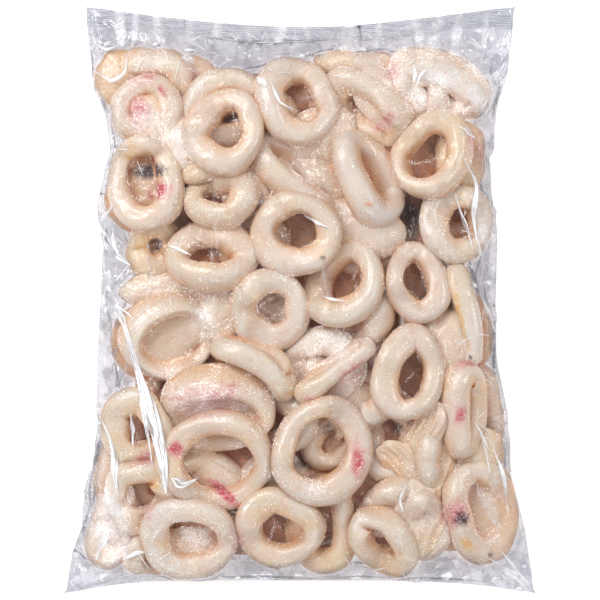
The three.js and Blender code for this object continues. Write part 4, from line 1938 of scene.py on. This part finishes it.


# Painted highlights: places where the flat film is painted white as if it glared. Across the ribbed weld: x,
# width, lean, rise, whiteness.
WELD_FLARES = (
    (-101, 8, -1, 7, 0.95), (-93, 5, 1, 5, 0.7), (-79, 7, -2, 3, 0.85), (-62, 5, 1, 0, 0.5),
    (-47, 6, 2, -2, 0.8), (-29, 4, -1, -3, 0.5), (-11, 9, 3, -4, 0.95), (4, 5, -2, -4, 0.6),
    (27, 10, 2, -4, 0.95), (44, 5, 1, -2, 0.6), (66, 7, -2, 0, 0.9), (76, 9, 3, 2, 0.8),
    (88, 7, 2, 4, 0.9), (104, 5, 1, 6, 0.6))

# In patches near the rim: path, width, whiteness.
RIM_FLARES = (
    (((-66, 137), (-60, 134)), 6.0, 0.95), (((-36, 147), (-33, 143)), 6.0, 0.95),
    (((-24, 124), (-19, 120)), 5.0, 0.9), (((-110, 92), (-107, 108)), 9.0, 0.55),
    (((-112, 62), (-108, 76)), 7.0, 0.5), (((-108, -108), (-101, -128), (-99, -142)), 14.0, 0.55),
    (((-119, -120), (-113, -140)), 6.0, 0.4), (((86, 128), (97, 118), (104, 104)), 12.0, 0.4),
    (((62, 128), (86, 122)), 10.0, 0.35), (((100, 52), (104, 30)), 8.0, 0.45),
    (((100, -104), (112, -128)), 8.0, 0.4), (((-60, -156), (-20, -158)), 4.0, 0.5),
    (((20, -158), (70, -157)), 4.0, 0.5), (((-128, -158), (-112, -150)), 5.0, 0.6),
    (((116, -150), (129, -160)), 5.0, 0.6),
)

FLARES = (
    *(Fold(((x - lean, 142.0), (x, 150.0), (x + lean, 158.0 + rise)), width, 0.0, white)
      for x, width, lean, rise, white in WELD_FLARES),
    *(Fold(path, width, 0.0, white) for path, width, white in RIM_FLARES))


@dataclass
class Film:
    """The bag's film: a welded tube that is drawn tight over the heap and wrinkles where it has slack."""

    outline: Outline
    flat_length: float = 344.0  # before it is filled
    bottom_width: float = 268.0
    top_width: float = 250.0
    columns: int = 96  # places round the tube at first
    rows: int = 60  # steps along it at first
    clearance: float = 0.7  # how far it stays off the rings
    top_weld: float = 11.0
    bottom_weld: float = 4.0
    apart: float = 0.5  # between the two sheets where they lie together
    over_heap: float = 0.05  # how loose it looks over a gap of the heap
    side_height: float = 13.0  # of the loose tube, before it is drawn down
    dome: float = 42.0  # how much higher its middle starts
    headroom: float = 4.0  # how far over the rings it starts
    end_slope: float = 7.0
    side_slope: float = 20.0
    ground: float = 0.1  # lowest height of the film
    fold_pull: Triple = (0.2, 0.12, 0.1)  # how firmly ends, sides and corners are held in a step
    bend_white: Triple = (0.35, 0.7, 0.3)  # whiteness of a sharp bend, partly whitened film and partly painted highlight, its size in steps, and where it starts
    bare: Pair = (2.5, 3.0)  # height of the heap where the film lies bare, and over how much
    free: Pair = (1.5, 4.0)  # the same for its distance from the rings
    corner_height: float = 3.0
    damping: float = 0.93  # share of its speed that it keeps
    grip: float = 0.35  # how much the rings brake it
    ruffle: float = 0.06  # unevenness of new places, in millimetres
    stages: tuple[tuple, ...] = (  # small steps, pressure, weight and evening out, from coarse to fine
        (420, 0.030, 0.004, 0.10), (320, 0.014, 0.002, 0.05), (160, 0.006, 0.001, 0.02))
    seed: int = 5

    @property
    def half(self) -> int:
        """Returns the number of steps across one sheet."""
        return self.columns // 2

    @property
    def step(self) -> float:
        """Returns the length of one step along the tube."""
        return self.flat_length / self.rows

    def _across(self) -> Array:
        """Places the columns across the flat tube, from -1 to 1 on top, then back underneath."""
        step = np.arange(self.columns)
        return np.where(step <= self.half, step / self.half * 2 - 1, 3 - step / self.half * 2)

    def _start(self, heap: Heap) -> None:
        """Hangs the tube loosely round the heap.

        Args:
            heap: The rings.
        """
        across = self._across()[None, :]
        along = np.linspace(0.0, 1.0, self.rows + 1)[:, None]
        bottom, top = self.outline.end_y(across, False), self.outline.end_y(across, True)
        y = bottom + (top - bottom) * along
        side = np.where(across < 0, self.outline.half_width(y, -1), self.outline.half_width(y, 1))
        x = across * side
        ends = ease((1 - np.abs(2 * along - 1)) * self.end_slope)
        dome = self.side_height + self.dome * (1 - np.abs(across) ** 6.0) ** 0.5
        over = np.zeros_like(x)
        near = range(-3, 4)
        for dx in near:
            for dy in near:
                over = np.maximum(over, heap.height_at(np.clip(x + dx * 3.0, -150, 150), y + dy * 3.0))
        z = np.maximum(dome * ends, (over + self.headroom) * ease((1 - np.abs(across)) * self.side_slope))
        z += 2.0
        upper = np.arange(self.columns)[None, :] <= self.half
        floor = 0.3 + 12.0 * np.abs(across) ** 30 * ends
        z = np.where(upper, z, floor)
        self.at = np.stack((x, y, z)).astype(np.float32)
        self._measure()

    def _measure(self) -> None:
        """Sets the flat distances between neighbouring places."""
        along = np.linspace(0.0, 1.0, self.rows + 1)
        width = self.bottom_width + (self.top_width - self.bottom_width) * along
        self.rest_round = (width / (self.columns / 2)).astype(np.float32)
        self.rest_along = np.float32(self.step)
        self.rest_slant = np.hypot(self.rest_round[:-1], self.rest_along)

    @staticmethod
    def _pull(first: Array, second: Array, rest: Array) -> None:
        """Brings pairs of places to their flat distance.

        Args:
            first: One place of each pair.
            second: The other.
            rest: Their flat distance.
        """
        gap = second - first
        length = np.sqrt(np.einsum("kij,kij->ij", gap, gap)) + 1e-6
        gap *= 0.5 * (1.0 - rest / length)
        first += gap
        second -= gap

    def _keep_lengths(self) -> None:
        """Restores the film's own lengths round, along and slantwise."""
        at = self.at
        rest = self.rest_round[:, None]
        self._pull(at[:, :, 0::2], at[:, :, 1::2], rest)
        self._pull(at[:, :, 1:-1:2], at[:, :, 2::2], rest)
        self._pull(at[:, :, -1:], at[:, :, :1], rest)
        for start in (0, 1):
            lower, upper = at[:, start:-1:2], at[:, start + 1::2]
            slant = self.rest_slant[start::2, None]
            self._pull(lower, upper, self.rest_along)
            self._pull(lower[:, :, :-1], upper[:, :, 1:], slant)
            self._pull(lower[:, :, -1:], upper[:, :, :1], slant)
            self._pull(lower[:, :, 1:], upper[:, :, :-1], slant)
            self._pull(lower[:, :, :1], upper[:, :, -1:], slant)

    def _unbend(self, share: float) -> None:
        """Evens out sharp bends.

        Args:
            share: How much of each place's offset from its neighbours is taken away, 0 to 1.
        """
        inner = self.at[:, 1:-1]
        offset = inner * -4.0
        round_it = np.roll(inner, 1, axis=2), np.roll(inner, -1, axis=2)
        for beside in (self.at[:, 2:], self.at[:, :-2], *round_it):
            offset += beside
        inner += 0.25 * share * offset

    def normals(self) -> Array:
        """Works out which way the film faces.

        Returns:
            The outward direction at every place.
        """
        at = self.at
        around_step = np.roll(at, -1, axis=2) - np.roll(at, 1, axis=2)
        along_step = np.empty_like(at)
        along_step[:, 1:-1] = at[:, 2:] - at[:, :-2]
        along_step[:, 0] = at[:, 1] - at[:, 0]
        along_step[:, -1] = at[:, -1] - at[:, -2]
        out = np.cross(around_step, along_step, axis=0)
        out /= np.sqrt((out * out).sum(axis=0)) + 1e-9
        return out

    def _weld(self, rows: slice) -> None:
        """Brings the two sheets together.

        Args:
            rows: Where they are welded.
        """
        upper, lower = self.at[:, rows, 1:self.half], self.at[:, rows, :self.half:-1]
        middle = 0.5 * (upper + lower)
        lift = np.array((0.0, 0.0, self.apart / 2), dtype=np.float32)[:, None, None]
        upper[...] = middle + lift
        lower[...] = middle - lift

    def _hold(self) -> None:
        """Keeps corners, ends and side folds where the outline has them, and the sheets in order."""
        at, half = self.at, self.half
        end_pull, side_pull, corner_pull = self.fold_pull
        self._weld(slice(0, int(self.bottom_weld / self.step) + 1))
        self._weld(slice(-int(self.top_weld / self.step) - 1, None))
        across = self._across()
        for row, top in ((0, False), (-1, True)):
            goal = self.outline.end_y(across, top)
            at[1, row] += end_pull * (goal - at[1, row])
        for column, side in ((0, -1), (half, 1)):
            fold = at[:, :, column]
            goal = side * self.outline.half_width(fold[1], side)
            fold[0] += side_pull * (goal - fold[0])
            for row, y in ((0, -self.outline.length / 2), (-1, self.outline.length / 2)):
                fold[0, row] = side * self.outline.half_width(np.array(y), side)
                fold[1, row] = y
                fold[2, row] += corner_pull * (self.corner_height - fold[2, row])
        upper, lower = at[2, :, 1:half], at[2, :, :half:-1]
        short = np.maximum(self.apart - (upper - lower), 0.0)
        upper += 0.5 * short
        lower -= 0.5 * short
        np.maximum(at[2], self.ground, out=at[2])

    def _settle(self, field: HeapField, rounds: int, push: float, drop: float, unbend: float) -> None:
        """Lets the film come to rest.

        Args:
            field: The heap that it rests on.
            rounds: How many small steps to take.
            push: Inward pressure, in millimetres a step.
            drop: Weight, in millimetres a step.
            unbend: How much bends are evened out, 0 to 1.
        """
        last = self.at.copy()
        inward = None
        for turn in range(rounds):
            speed = (self.at - last) * self.damping
            last = self.at.copy()
            self.at += speed
            if turn % 6 == 0:
                inward = -push * self.normals()
            self.at += inward
            self.at[2] -= drop
            self._unbend(unbend)
            self._keep_lengths()
            self._hold()
            self._keep_lengths()
            touched = field.push_out(self.at, self.clearance)
            last[:, touched] += self.grip * (self.at[:, touched] - last[:, touched])

    def _refine(self) -> None:
        """Doubles the places round and along the tube."""
        at, near, far = self.at, 9 / 16, 1 / 16
        wide = np.empty((3, at.shape[1], at.shape[2] * 2), dtype=np.float32)
        wide[:, :, 0::2] = at
        wide[:, :, 1::2] = near * (at + np.roll(at, -1, axis=2))
        wide[:, :, 1::2] -= far * (np.roll(at, 1, axis=2) + np.roll(at, -2, axis=2))
        tall = np.empty((3, at.shape[1] * 2 - 1, wide.shape[2]), dtype=np.float32)
        tall[:, 0::2] = wide
        tall[:, 1::2] = 0.5 * (wide[:, 1:] + wide[:, :-1])
        tall[:, 3:-3:2] = near * (wide[:, 1:-2] + wide[:, 2:-1]) - far * (wide[:, :-3] + wide[:, 3:])
        self.at = tall
        self.columns *= 2
        self.rows *= 2
        self._measure()
        chance = np.random.default_rng(self.seed + self.rows)
        self.at += chance.normal(0.0, self.ruffle, self.at.shape).astype(np.float32)

    def shape(self, heap: Heap, field: HeapField) -> None:
        """Draws the film over the heap, coarse first and then finer.

        Args:
            heap: The rings.
            field: Distances from them.
        """
        self._start(heap)
        for number, stage in enumerate(self.stages):
            if number:
                self._refine()
            self._settle(field, *stage)
        for _ in range(3):
            field.push_out(self.at, self.clearance + 0.15)
        self._hold()

    def upper_tree(self) -> BVHTree:
        """Makes the upper sheet ready for rays to be cast on.

        Returns:
            The sheet, in millimetres.
        """
        points = self.at[:, :, :self.half + 1].reshape(3, -1).T
        faces = quads(self.rows + 1, self.half + 1, False, False)
        return BVHTree.FromPolygons(points.tolist(), faces.tolist())

    def _sharpness(self) -> Array:
        """Works out how sharply the film is folded.

        Returns:
            A number for each place, 0 to 1.
        """
        at = self.at
        side = 0.5 * (np.roll(at, 1, axis=2) + np.roll(at, -1, axis=2)) - at
        bend = norm(side, axis=0)
        bend[1:-1] += norm(0.5 * (at[:, 2:] + at[:, :-2]) - at[:, 1:-1], axis=0)
        white, size, start = self.bend_white
        return white * ease(bend / (self.rest_along * size) - start)

    def _looseness(self, field: HeapField, heap: Heap) -> Array:
        """Works out how free of the rings the film is.

        Args:
            field: Distances from the rings.
            heap: The rings.

        Returns:
            A number for each place, 0 to 1.
        """
        places = self.at.transpose(1, 2, 0)
        spot = np.rint((places - field.low) / field.cell).astype(int)
        spot = np.clip(spot, 0, np.array(field.shape) - 1)
        gap = field.gap[spot[..., 0], spot[..., 1], spot[..., 2]]
        bare = 1 - ease((heap.heights - self.bare[0]) / self.bare[1])
        near = [(step, axis) for step in (1, -1) for axis in (0, 1)]
        for _ in range(2):
            bare = np.maximum.reduce((bare, *(np.roll(bare, *side) for side in near)))
        bare = 0.2 * sum((bare, *(np.roll(bare, *side) for side in near)))
        outside = bare[heap.cells(places)]
        return outside + (1 - outside) * self.over_heap * ease((gap - self.free[0]) / self.free[1])

    def _ends(self) -> Arrays:
        """Lists the faces that close the tube's two ends.

        Returns:
            The four-sided faces, and the three-sided ones.
        """
        half, count = self.half, self.columns
        step = np.arange(half)
        under = (count - np.arange(half + 1)) % count
        last = self.rows * count
        lower = np.stack((step + 1, step, under[:-1], under[1:]), axis=1)
        upper = np.stack((step, step + 1, under[1:], under[:-1]), axis=1) + last
        sides = join((lower[1:-1], upper[1:-1]))
        corners = lower[0, [0, 1, 3]], lower[-1, [0, 1, 2]], upper[0, [0, 1, 2]], upper[-1, [0, 1, 3]]
        return sides, np.array(corners)

    def build(self, material: Material, field: HeapField, heap: Heap) -> Object:
        """Makes the film's mesh.

        Args:
            material: The clear film.
            field: Distances from the rings that it rests on.
            heap: The rings.

        Returns:
            The piece.
        """
        # Partly painted highlights: the whiteness of sharp bends and of the flares.
        white = self._sharpness()
        upper = slice(0, self.half + 1)
        x, y = self.at[0, :, upper].astype(float), self.at[1, :, upper].astype(float)
        for flare in FLARES:
            white[:, upper] = np.maximum(white[:, upper], flare.white * ease(flare.profile(x, y) * 1.6))
        points = self.at.reshape(3, -1).T.astype(float)
        faces = quads(self.rows + 1, self.columns, False, True)[:, ::-1]
        piece = make_piece("film", points, faces, *self._ends(), finish=material)
        veil = np.zeros((len(points), 4))
        veil[:, 0] = white.ravel()
        veil[:, 1] = self._looseness(field, heap).ravel()
        from_end = (self.rows - np.arange(self.rows + 1))[:, None] * self.step
        veil[:, 2] = (ease((self.top_weld + 1.0 - from_end) / 2.0) * np.ones((1, self.columns))).ravel()
        paint(piece, "film", veil)
        return piece


def drop_on(cloth: BVHTree, plan: Array, start: float = 80.0) -> Array:
    """Returns a cloth's height under some plan places, and nan beside it."""
    hits = (cloth.ray_cast(Vector((x, y, start)), Vector((0.0, 0.0, -1.0)))[0] for x, y in plan)
    return np.array([hit.z if hit else np.nan for hit in hits])


@dataclass
class FilmLines:
    """Fine raised lines that follow the film: sharp creases, and the ribs of the weld."""

    sides: int = 6

    def sweep(self, name: str, paths: list[Array], radius: float, blunt: float,
              material: Material) -> Object:
        """Makes one mesh of all the lines, each with a round section along its path.

        Args:
            name: The piece's name.
            paths: Each line's places in millimetres.
            radius: Greatest radius of a line.
            blunt: Share of the radius that is left at a line's ends.
            material: The lines' finish.

        Returns:
            The piece.
        """
        points = join(paths)
        tapers, edges, count = [], [], 0
        for path in paths:
            step = np.linspace(-1.0, 1.0, len(path))
            tapers.append(blunt + (1 - blunt) * np.sqrt(np.clip(1 - step ** 2, 0.0, 1.0)))
            index = np.arange(count, count + len(path) - 1)
            edges.append(np.stack((index, index + 1), axis=1))
            count += len(path)
        mesh = bpy.data.meshes.new(name + "_paths")
        mesh.from_pydata((points * MM).tolist(), join(edges).tolist(), ())
        note(mesh, "taper", join(tapers))
        grower = Grower("round_lines", Radius=radius * MM)
        nodes, given = grower.nodes, grower.given
        curve = nodes.add("GeometryNodeMeshToCurve", {0: given["Geometry"]})
        section = nodes.add("GeometryNodeCurvePrimitiveCircle", {"Resolution": self.sides})
        nodes.set(section.inputs["Radius"], given["Radius"])
        swept = nodes.add("GeometryNodeCurveToMesh", {
            "Curve": curve.outputs[0], "Profile Curve": section.outputs[0],
            "Scale": grower.attribute("taper"), "Fill Caps": True})
        piece = grower.grow(name, show(name + "_paths", mesh), swept.outputs[0], material)
        piece.data.polygons.foreach_set("use_smooth", np.ones(len(piece.data.polygons), dtype=bool))
        return piece


@dataclass
class Creases:
    """Sharp fine creases, laid on the upper film as a broken net of facets' edges and drawn white as painted
    glints.
    """

    outline: Outline
    pitch: float = 9.5
    kept: float = 0.85  # share of the net that is kept beside the seams
    reach: float = 28.0  # how far in from the sides it is kept
    top_reach: float = 1.6  # the same from the ribbed end, as a share of it
    bottom_reach: float = 0.9
    ends: Pair = (-160.0, 150.0)
    on_heap: float = 0.12  # how much of it is kept on the rings
    heap_height: float = 4.0  # height above which the film lies on rings
    area: Pair = (272.0, 336.0)
    jitter: float = 0.42  # how far its knots stray, as a share of the pitch
    shortest: float = 0.55  # least share of the way between two knots
    bow: float = 0.05
    places: int = 8  # along one crease
    radius: float = 0.2
    blunt: float = 0.1
    lift: float = 0.05
    seed: int = 21

    def _amount(self, x: float, y: float) -> float:
        """Works out how much of the net is kept.

        Args:
            x: A plan place sideways.
            y: The place lengthways.

        Returns:
            A share, 0 to 1.
        """
        side = 1 if x > 0 else -1
        inward = float(self.outline.half_width(np.array(y), side)) - abs(x)
        up, down = self.ends[1] - y, y - self.ends[0]
        if min(inward, up, down) < 1.0:
            return 0.0
        reaches = self.reach, self.reach * self.top_reach, self.reach * self.bottom_reach
        near = max(1 - away / reach for away, reach in zip((inward, up, down), reaches))
        return self.kept * float(ease(np.array(near * 1.5)))

    def _plans(self, heap: Heap) -> list[Array]:
        """Chooses the creases' plan paths.

        Args:
            heap: The rings, which smooth the film that lies on them.

        Returns:
            Plan places of each crease.
        """
        chance = np.random.default_rng(self.seed)
        columns, rows = (int(size / self.pitch) for size in self.area)
        row, column = np.meshgrid(np.arange(rows), np.arange(columns), indexing="ij")
        x = (column - (columns - 1) / 2 + 0.5 * (row % 2)) * self.pitch
        y = (row - (rows - 1) / 2) * self.pitch
        x = x + chance.uniform(-self.jitter, self.jitter, x.shape) * self.pitch
        y = y + chance.uniform(-self.jitter, self.jitter, y.shape) * self.pitch
        plans = []
        for i in range(rows - 1):
            for j in range(1, columns - 1):
                shift = i % 2
                for k, m in ((i, j + 1), (i + 1, j + shift), (i + 1, j + shift - 1)):
                    start, end = np.array((x[i, j], y[i, j])), np.array((x[k, m], y[k, m]))
                    middle = (start + end) / 2
                    spots = start, middle, end
                    covered = any(heap.height_at(*spot) > self.heap_height for spot in spots)
                    if chance.uniform() > self._amount(*middle) * (self.on_heap if covered else 1.0):
                        continue
                    way = end - start
                    share = chance.uniform(self.shortest, 1.0)
                    start = start + way * chance.uniform(0.0, 1 - share)
                    step = np.linspace(0.0, 1.0, self.places)[:, None]
                    bend = chance.normal(0.0, self.bow) * np.array((-way[1], way[0]))
                    plans.append(start + way * share * step + 4 * bend * step * (1 - step))
        return plans

    def build(self, lines: FilmLines, film: Film, heap: Heap, material: Material) -> Object:
        """Lays the creases on the film.

        Args:
            lines: Sweeps paths into lines.
            film: The film that they lie on.
            heap: The rings under it.
            material: Their finish.

        Returns:
            The piece.
        """
        cloth = film.upper_tree()
        plans = self._plans(heap)
        drops = [drop_on(cloth, plan) + self.lift for plan in plans]
        paths = [np.column_stack(pair) for pair in zip(plans, drops) if not np.isnan(pair[1]).any()]
        return lines.sweep("film_creases", paths, self.radius, self.blunt, material)


@dataclass
class Pleats:
    """Pleats that stand on the film where it is gathered, as flat bands that run out to points."""

    step: float = 0.8
    sides: int = 12
    sway: float = 0.12  # of its route, as a share of its width
    waist: float = 0.2  # how much its width changes along it
    point: float = 0.8  # how blunt its ends are, where 1 is a straight taper
    sunk: float = 0.25  # height of its middle, as a share of its own height
    streak: Pair = (4.0, 60.0)  # width and length that one streak of its finish takes

    def _band(self, fold: Fold, cloth: BVHTree, seed: int) -> Arrays:
        """Works out one band.

        Args:
            fold: Its route and size.
            cloth: The film that it stands on.
            seed: Chooses its unevenness.

        Returns:
            Its points as rows and columns of places, and the channels of "pleat".
        """
        chance = np.random.default_rng(seed)
        path, _, before = fold.stations()
        length = before[-1]
        count = max(8, int(length / self.step))
        along = np.linspace(0.0, 1.0, count)
        line = np.stack([np.interp(along * length, before, path[:, axis]) for axis in (0, 1)], axis=1)
        for _ in range(count // 3):
            line[1:-1] = 0.25 * line[:-2] + 0.5 * line[1:-1] + 0.25 * line[2:]
        way = np.gradient(line, axis=0)
        way /= norm(way, axis=1, keepdims=True)
        aside = np.stack((way[:, 1], -way[:, 0]), axis=1)
        sway = self.sway * fold.width * np.sin(along * chance.uniform(5, 9) + chance.uniform(0, 6))
        line = line + aside * sway[:, None]
        level = np.nan_to_num(drop_on(cloth, line))
        for _ in range(4):
            level[1:-1] = np.maximum(level[1:-1], 0.25 * level[:-2] + 0.5 * level[1:-1] + 0.25 * level[2:])
        rise, fall = along / fold.peak, (1.0 - along) / (1.0 - fold.peak)
        taper = np.clip(np.minimum(rise, fall), 0.01, 1.0) ** self.point
        taper *= 1 + self.waist * np.sin(along * chance.uniform(9, 16) + chance.uniform(0, 6))
        angle = np.linspace(0.0, TURN, self.sides, endpoint=False)
        across = 0.5 * fold.width * taper[:, None] * np.cos(angle)
        up = fold.height * taper[:, None] * (0.5 * np.sin(angle) + 0.15 * np.cos(2 * angle))
        flat = line[:, None] + aside[:, None] * across[..., None]
        points = join((flat, (level[:, None] + self.sunk * fold.height + up)[..., None]), axis=2)
        one = np.ones((count, self.sides))
        wide, long = self.streak
        place = (0.5 + 0.5 * np.cos(angle))[None, :] * one * fold.width / wide + seed % 7
        run = along[:, None] * one * length / long
        return points, np.stack((fold.white * one, place, run, one), axis=-1)

    def build(self, film: "Film", material: Material) -> Object:
        """Makes all the bands one piece.

        Args:
            film: The film that they stand on.
            material: The pleats' finish.

        Returns:
            The piece.
        """
        cloth, bands = film.upper_tree(), Gathered()
        for number, fold in enumerate(FOLDS):
            band, channels = self._band(fold, cloth, film.seed + number)
            sides, rim = quads(len(band), self.sides, False, True), np.arange(self.sides)
            caps = rim, rim[::-1] + (len(band) - 1) * self.sides
            bands.add(band.reshape(-1, 3), sides, caps, channels.reshape(-1, 4))
        return bands.make("film_pleats", material, "pleat")


@dataclass
class SealRibs:
    """The fine ribs that the welding bars press into the bag's upper end."""

    count: int = 9
    pitch: float = 1.15
    first: float = 1.2
    radius: float = 0.22
    blunt: float = 0.9
    lift: float = 0.12  # height of a rib's middle over the film
    # Whiteness of the ribs' streaks: painted highlights along the ribs.
    white: float = 0.6
    streak: Pair = (200.0, 16.0)  # streaks of its finish in a metre, across it and along it

    def build(self, lines: FilmLines, film: "Film", material: Material) -> Object:
        """Lays the ribs along the weld.

        Args:
            lines: Sweeps paths into lines.
            film: The film that they are pressed into.
            material: Their finish.

        Returns:
            The piece.
        """
        upper = slice(1, film.half)
        paths = []
        for number in range(self.count):
            back = (self.first + number * self.pitch) / film.step
            row, part = int(back), back - int(back)
            near, far = film.at[:, -1 - row, upper], film.at[:, -2 - row, upper]
            path = (near * (1 - part) + far * part).T.astype(float)
            path[:, 2] += self.lift
            paths.append(path)
        piece = lines.sweep("seal_ribs", paths, self.radius, self.blunt, material)
        spots = np.empty(len(piece.data.vertices) * 3, dtype=np.float32)
        piece.data.vertices.foreach_get("co", spots)
        x, y, _ = spots.reshape(-1, 3).T
        one = np.ones_like(x)
        wide, long = self.streak
        paint(piece, "pleat", np.stack((self.white * one, y * wide, x * long, one), axis=-1))
        return piece


@dataclass
class Studio:
    """A pale floor, soft light from above and a camera straight over the bag."""

    view_width: float = 336.0
    view_height: float = 22.0
    camera_height: float = 2200.0
    floor_size: float = 12000.0
    lamp_size: float = 0.22
    lamp_pitch: float = 0.45
    sky: Colour = (0.97, 0.98, 1.0)
    horizon: float = 0.36  # brightness of the sky there
    zenith: float = 0.79
    floor_glow: float = 0.45
    lamps: tuple[tuple, ...] = (  # banks: name, middle in metres, lamps sideways and upwards, watts
        ("key", (-0.72, 0.72, 1.15), (3, 2), 16.3),
        ("side", (1.3, 0.4, 1.4), (2, 1), 5.0),
        ("front", (0.2, -1.4, 1.2), (2, 1), 3.0))

    def floor(self, effects: Effects) -> None:
        """Builds the floor, which isn't part of the bag.

        Args:
            effects: The shared shader groups.
        """
        half = self.floor_size / 2
        corners = np.array(((-half, -half, 0), (half, -half, 0), (half, half, 0), (-half, half, 0)))
        pale = PlainFinish("pale_floor", colour=(0.86, 0.86, 0.87), other=(0.84, 0.84, 0.85),
                           roughness=0.9, grain=3.0, glow=self.floor_glow)
        face = np.array(((0, 1, 2, 3),))
        make_piece("floor", corners, face, finish=pale.material(effects))

    def bank(self, name: str, at: Triple, count: tuple[int, int], power: float) -> None:
        """Adds a bank of small soft lamps, which all face the bag.

        Args:
            name: The bank's name.
            at: Its middle in metres.
            count: Lamps sideways and upwards.
            power: Power of the whole bank in watts.
        """
        middle = Vector(at)
        sideways = middle.cross(Vector((0.0, 0.0, 1.0))).normalized()
        upwards = sideways.cross(middle).normalized()
        for i in range(count[0]):
            for j in range(count[1]):
                data = bpy.data.lights.new(f"{name}_{i}_{j}", "AREA")
                data.size = self.lamp_size
                data.energy = power / (count[0] * count[1])
                lamp = show(data.name, data)
                shift = sideways * (i - (count[0] - 1) / 2) + upwards * (j - (count[1] - 1) / 2)
                lamp.location = middle + shift * self.lamp_pitch
                lamp.rotation_euler = (-lamp.location).to_track_quat("-Z", "Y").to_euler()

    def light(self) -> None:
        """Adds the lamps, and a sky that is brightest overhead."""
        for bank in self.lamps:
            self.bank(*bank)
        world = bpy.data.worlds.new("sky")
        world.use_nodes = True
        nodes = Wiring(world.node_tree)
        way = nodes.add("ShaderNodeTexCoord").outputs["Generated"]
        up = nodes.add("ShaderNodeSeparateXYZ", {0: way}).outputs[2]
        strength = nodes.between(nodes.math("MAXIMUM", up, 0.0), self.horizon, self.zenith)
        sky = nodes.add("ShaderNodeBackground", {0: self.sky, 1: strength})
        nodes.add("ShaderNodeOutputWorld", {0: sky.outputs[0]})
        bpy.context.scene.world = world

    def camera(self) -> None:
        """Hangs the camera straight over the bag, with the seal at the top of the picture."""
        data = bpy.data.cameras.new("camera")
        reach = self.camera_height - self.view_height
        data.lens = data.sensor_width * reach / self.view_width
        made = show("camera", data)
        made.location = (0.0, 0.0, self.camera_height * MM)
        bpy.context.scene.camera = made

    def colours(self) -> None:
        """Shows colours as they are, with white at full brightness."""
        bpy.context.scene.view_settings.view_transform = "Standard"
        bpy.context.scene.view_settings.look = "None"

    def build(self, effects: Effects) -> None:
        """Sets up the whole room.

        Args:
            effects: The shared shader groups.
        """
        self.floor(effects)
        self.light()
        self.camera()
        self.colours()


def main() -> None:
    """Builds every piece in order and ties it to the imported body."""
    logging.basicConfig(level=logging.INFO, format="%(message)s")
    effects = Effects()
    Studio().build(effects)

    flesh = FleshFinish().material(effects)
    heap = Heap()
    outline = Outline()
    heap.lay_all(outline)
    core = Core()
    pieces = heap.build(flesh, core)

    field_of_rings = HeapField(heap)
    film = Film(outline)
    film.shape(heap, field_of_rings)
    heap.include(core)
    pieces.append(core.build(GlazeFinish().material(effects)))
    # The ice crystals glow a little though they are no lamp: painted brightness.
    ice = PlainFinish("ice", glow=0.55).material(effects)
    for grains in CRYSTALS, DUST:
        pieces.append(grains.build(heap, ice))
    clear = FilmFinish().material(effects)
    pieces.append(film.build(clear, field_of_rings, heap))
    pleated = PleatFinish().material(effects)
    pieces.append(Pleats().build(film, pleated))
    # The creases are opaque white lines: painted glints along the creases, with some whitening of creased
    # film.
    crease_glint_white = PlainFinish("whitened_film", colour=(0.95, 0.955, 0.97), other=(0.90, 0.905, 0.93),
                          roughness=0.2, grain=200.0).material(effects)
    lines = FilmLines()
    pieces.append(Creases(outline).build(lines, film, heap, crease_glint_white))
    pieces.append(SealRibs().build(lines, film, pleated))

    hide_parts(NODE)
    for piece in pieces:
        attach(piece, BODY)
        log.info("%s: %d faces", piece.name, len(piece.data.polygons))


if __name__ == "__main__":
    main()
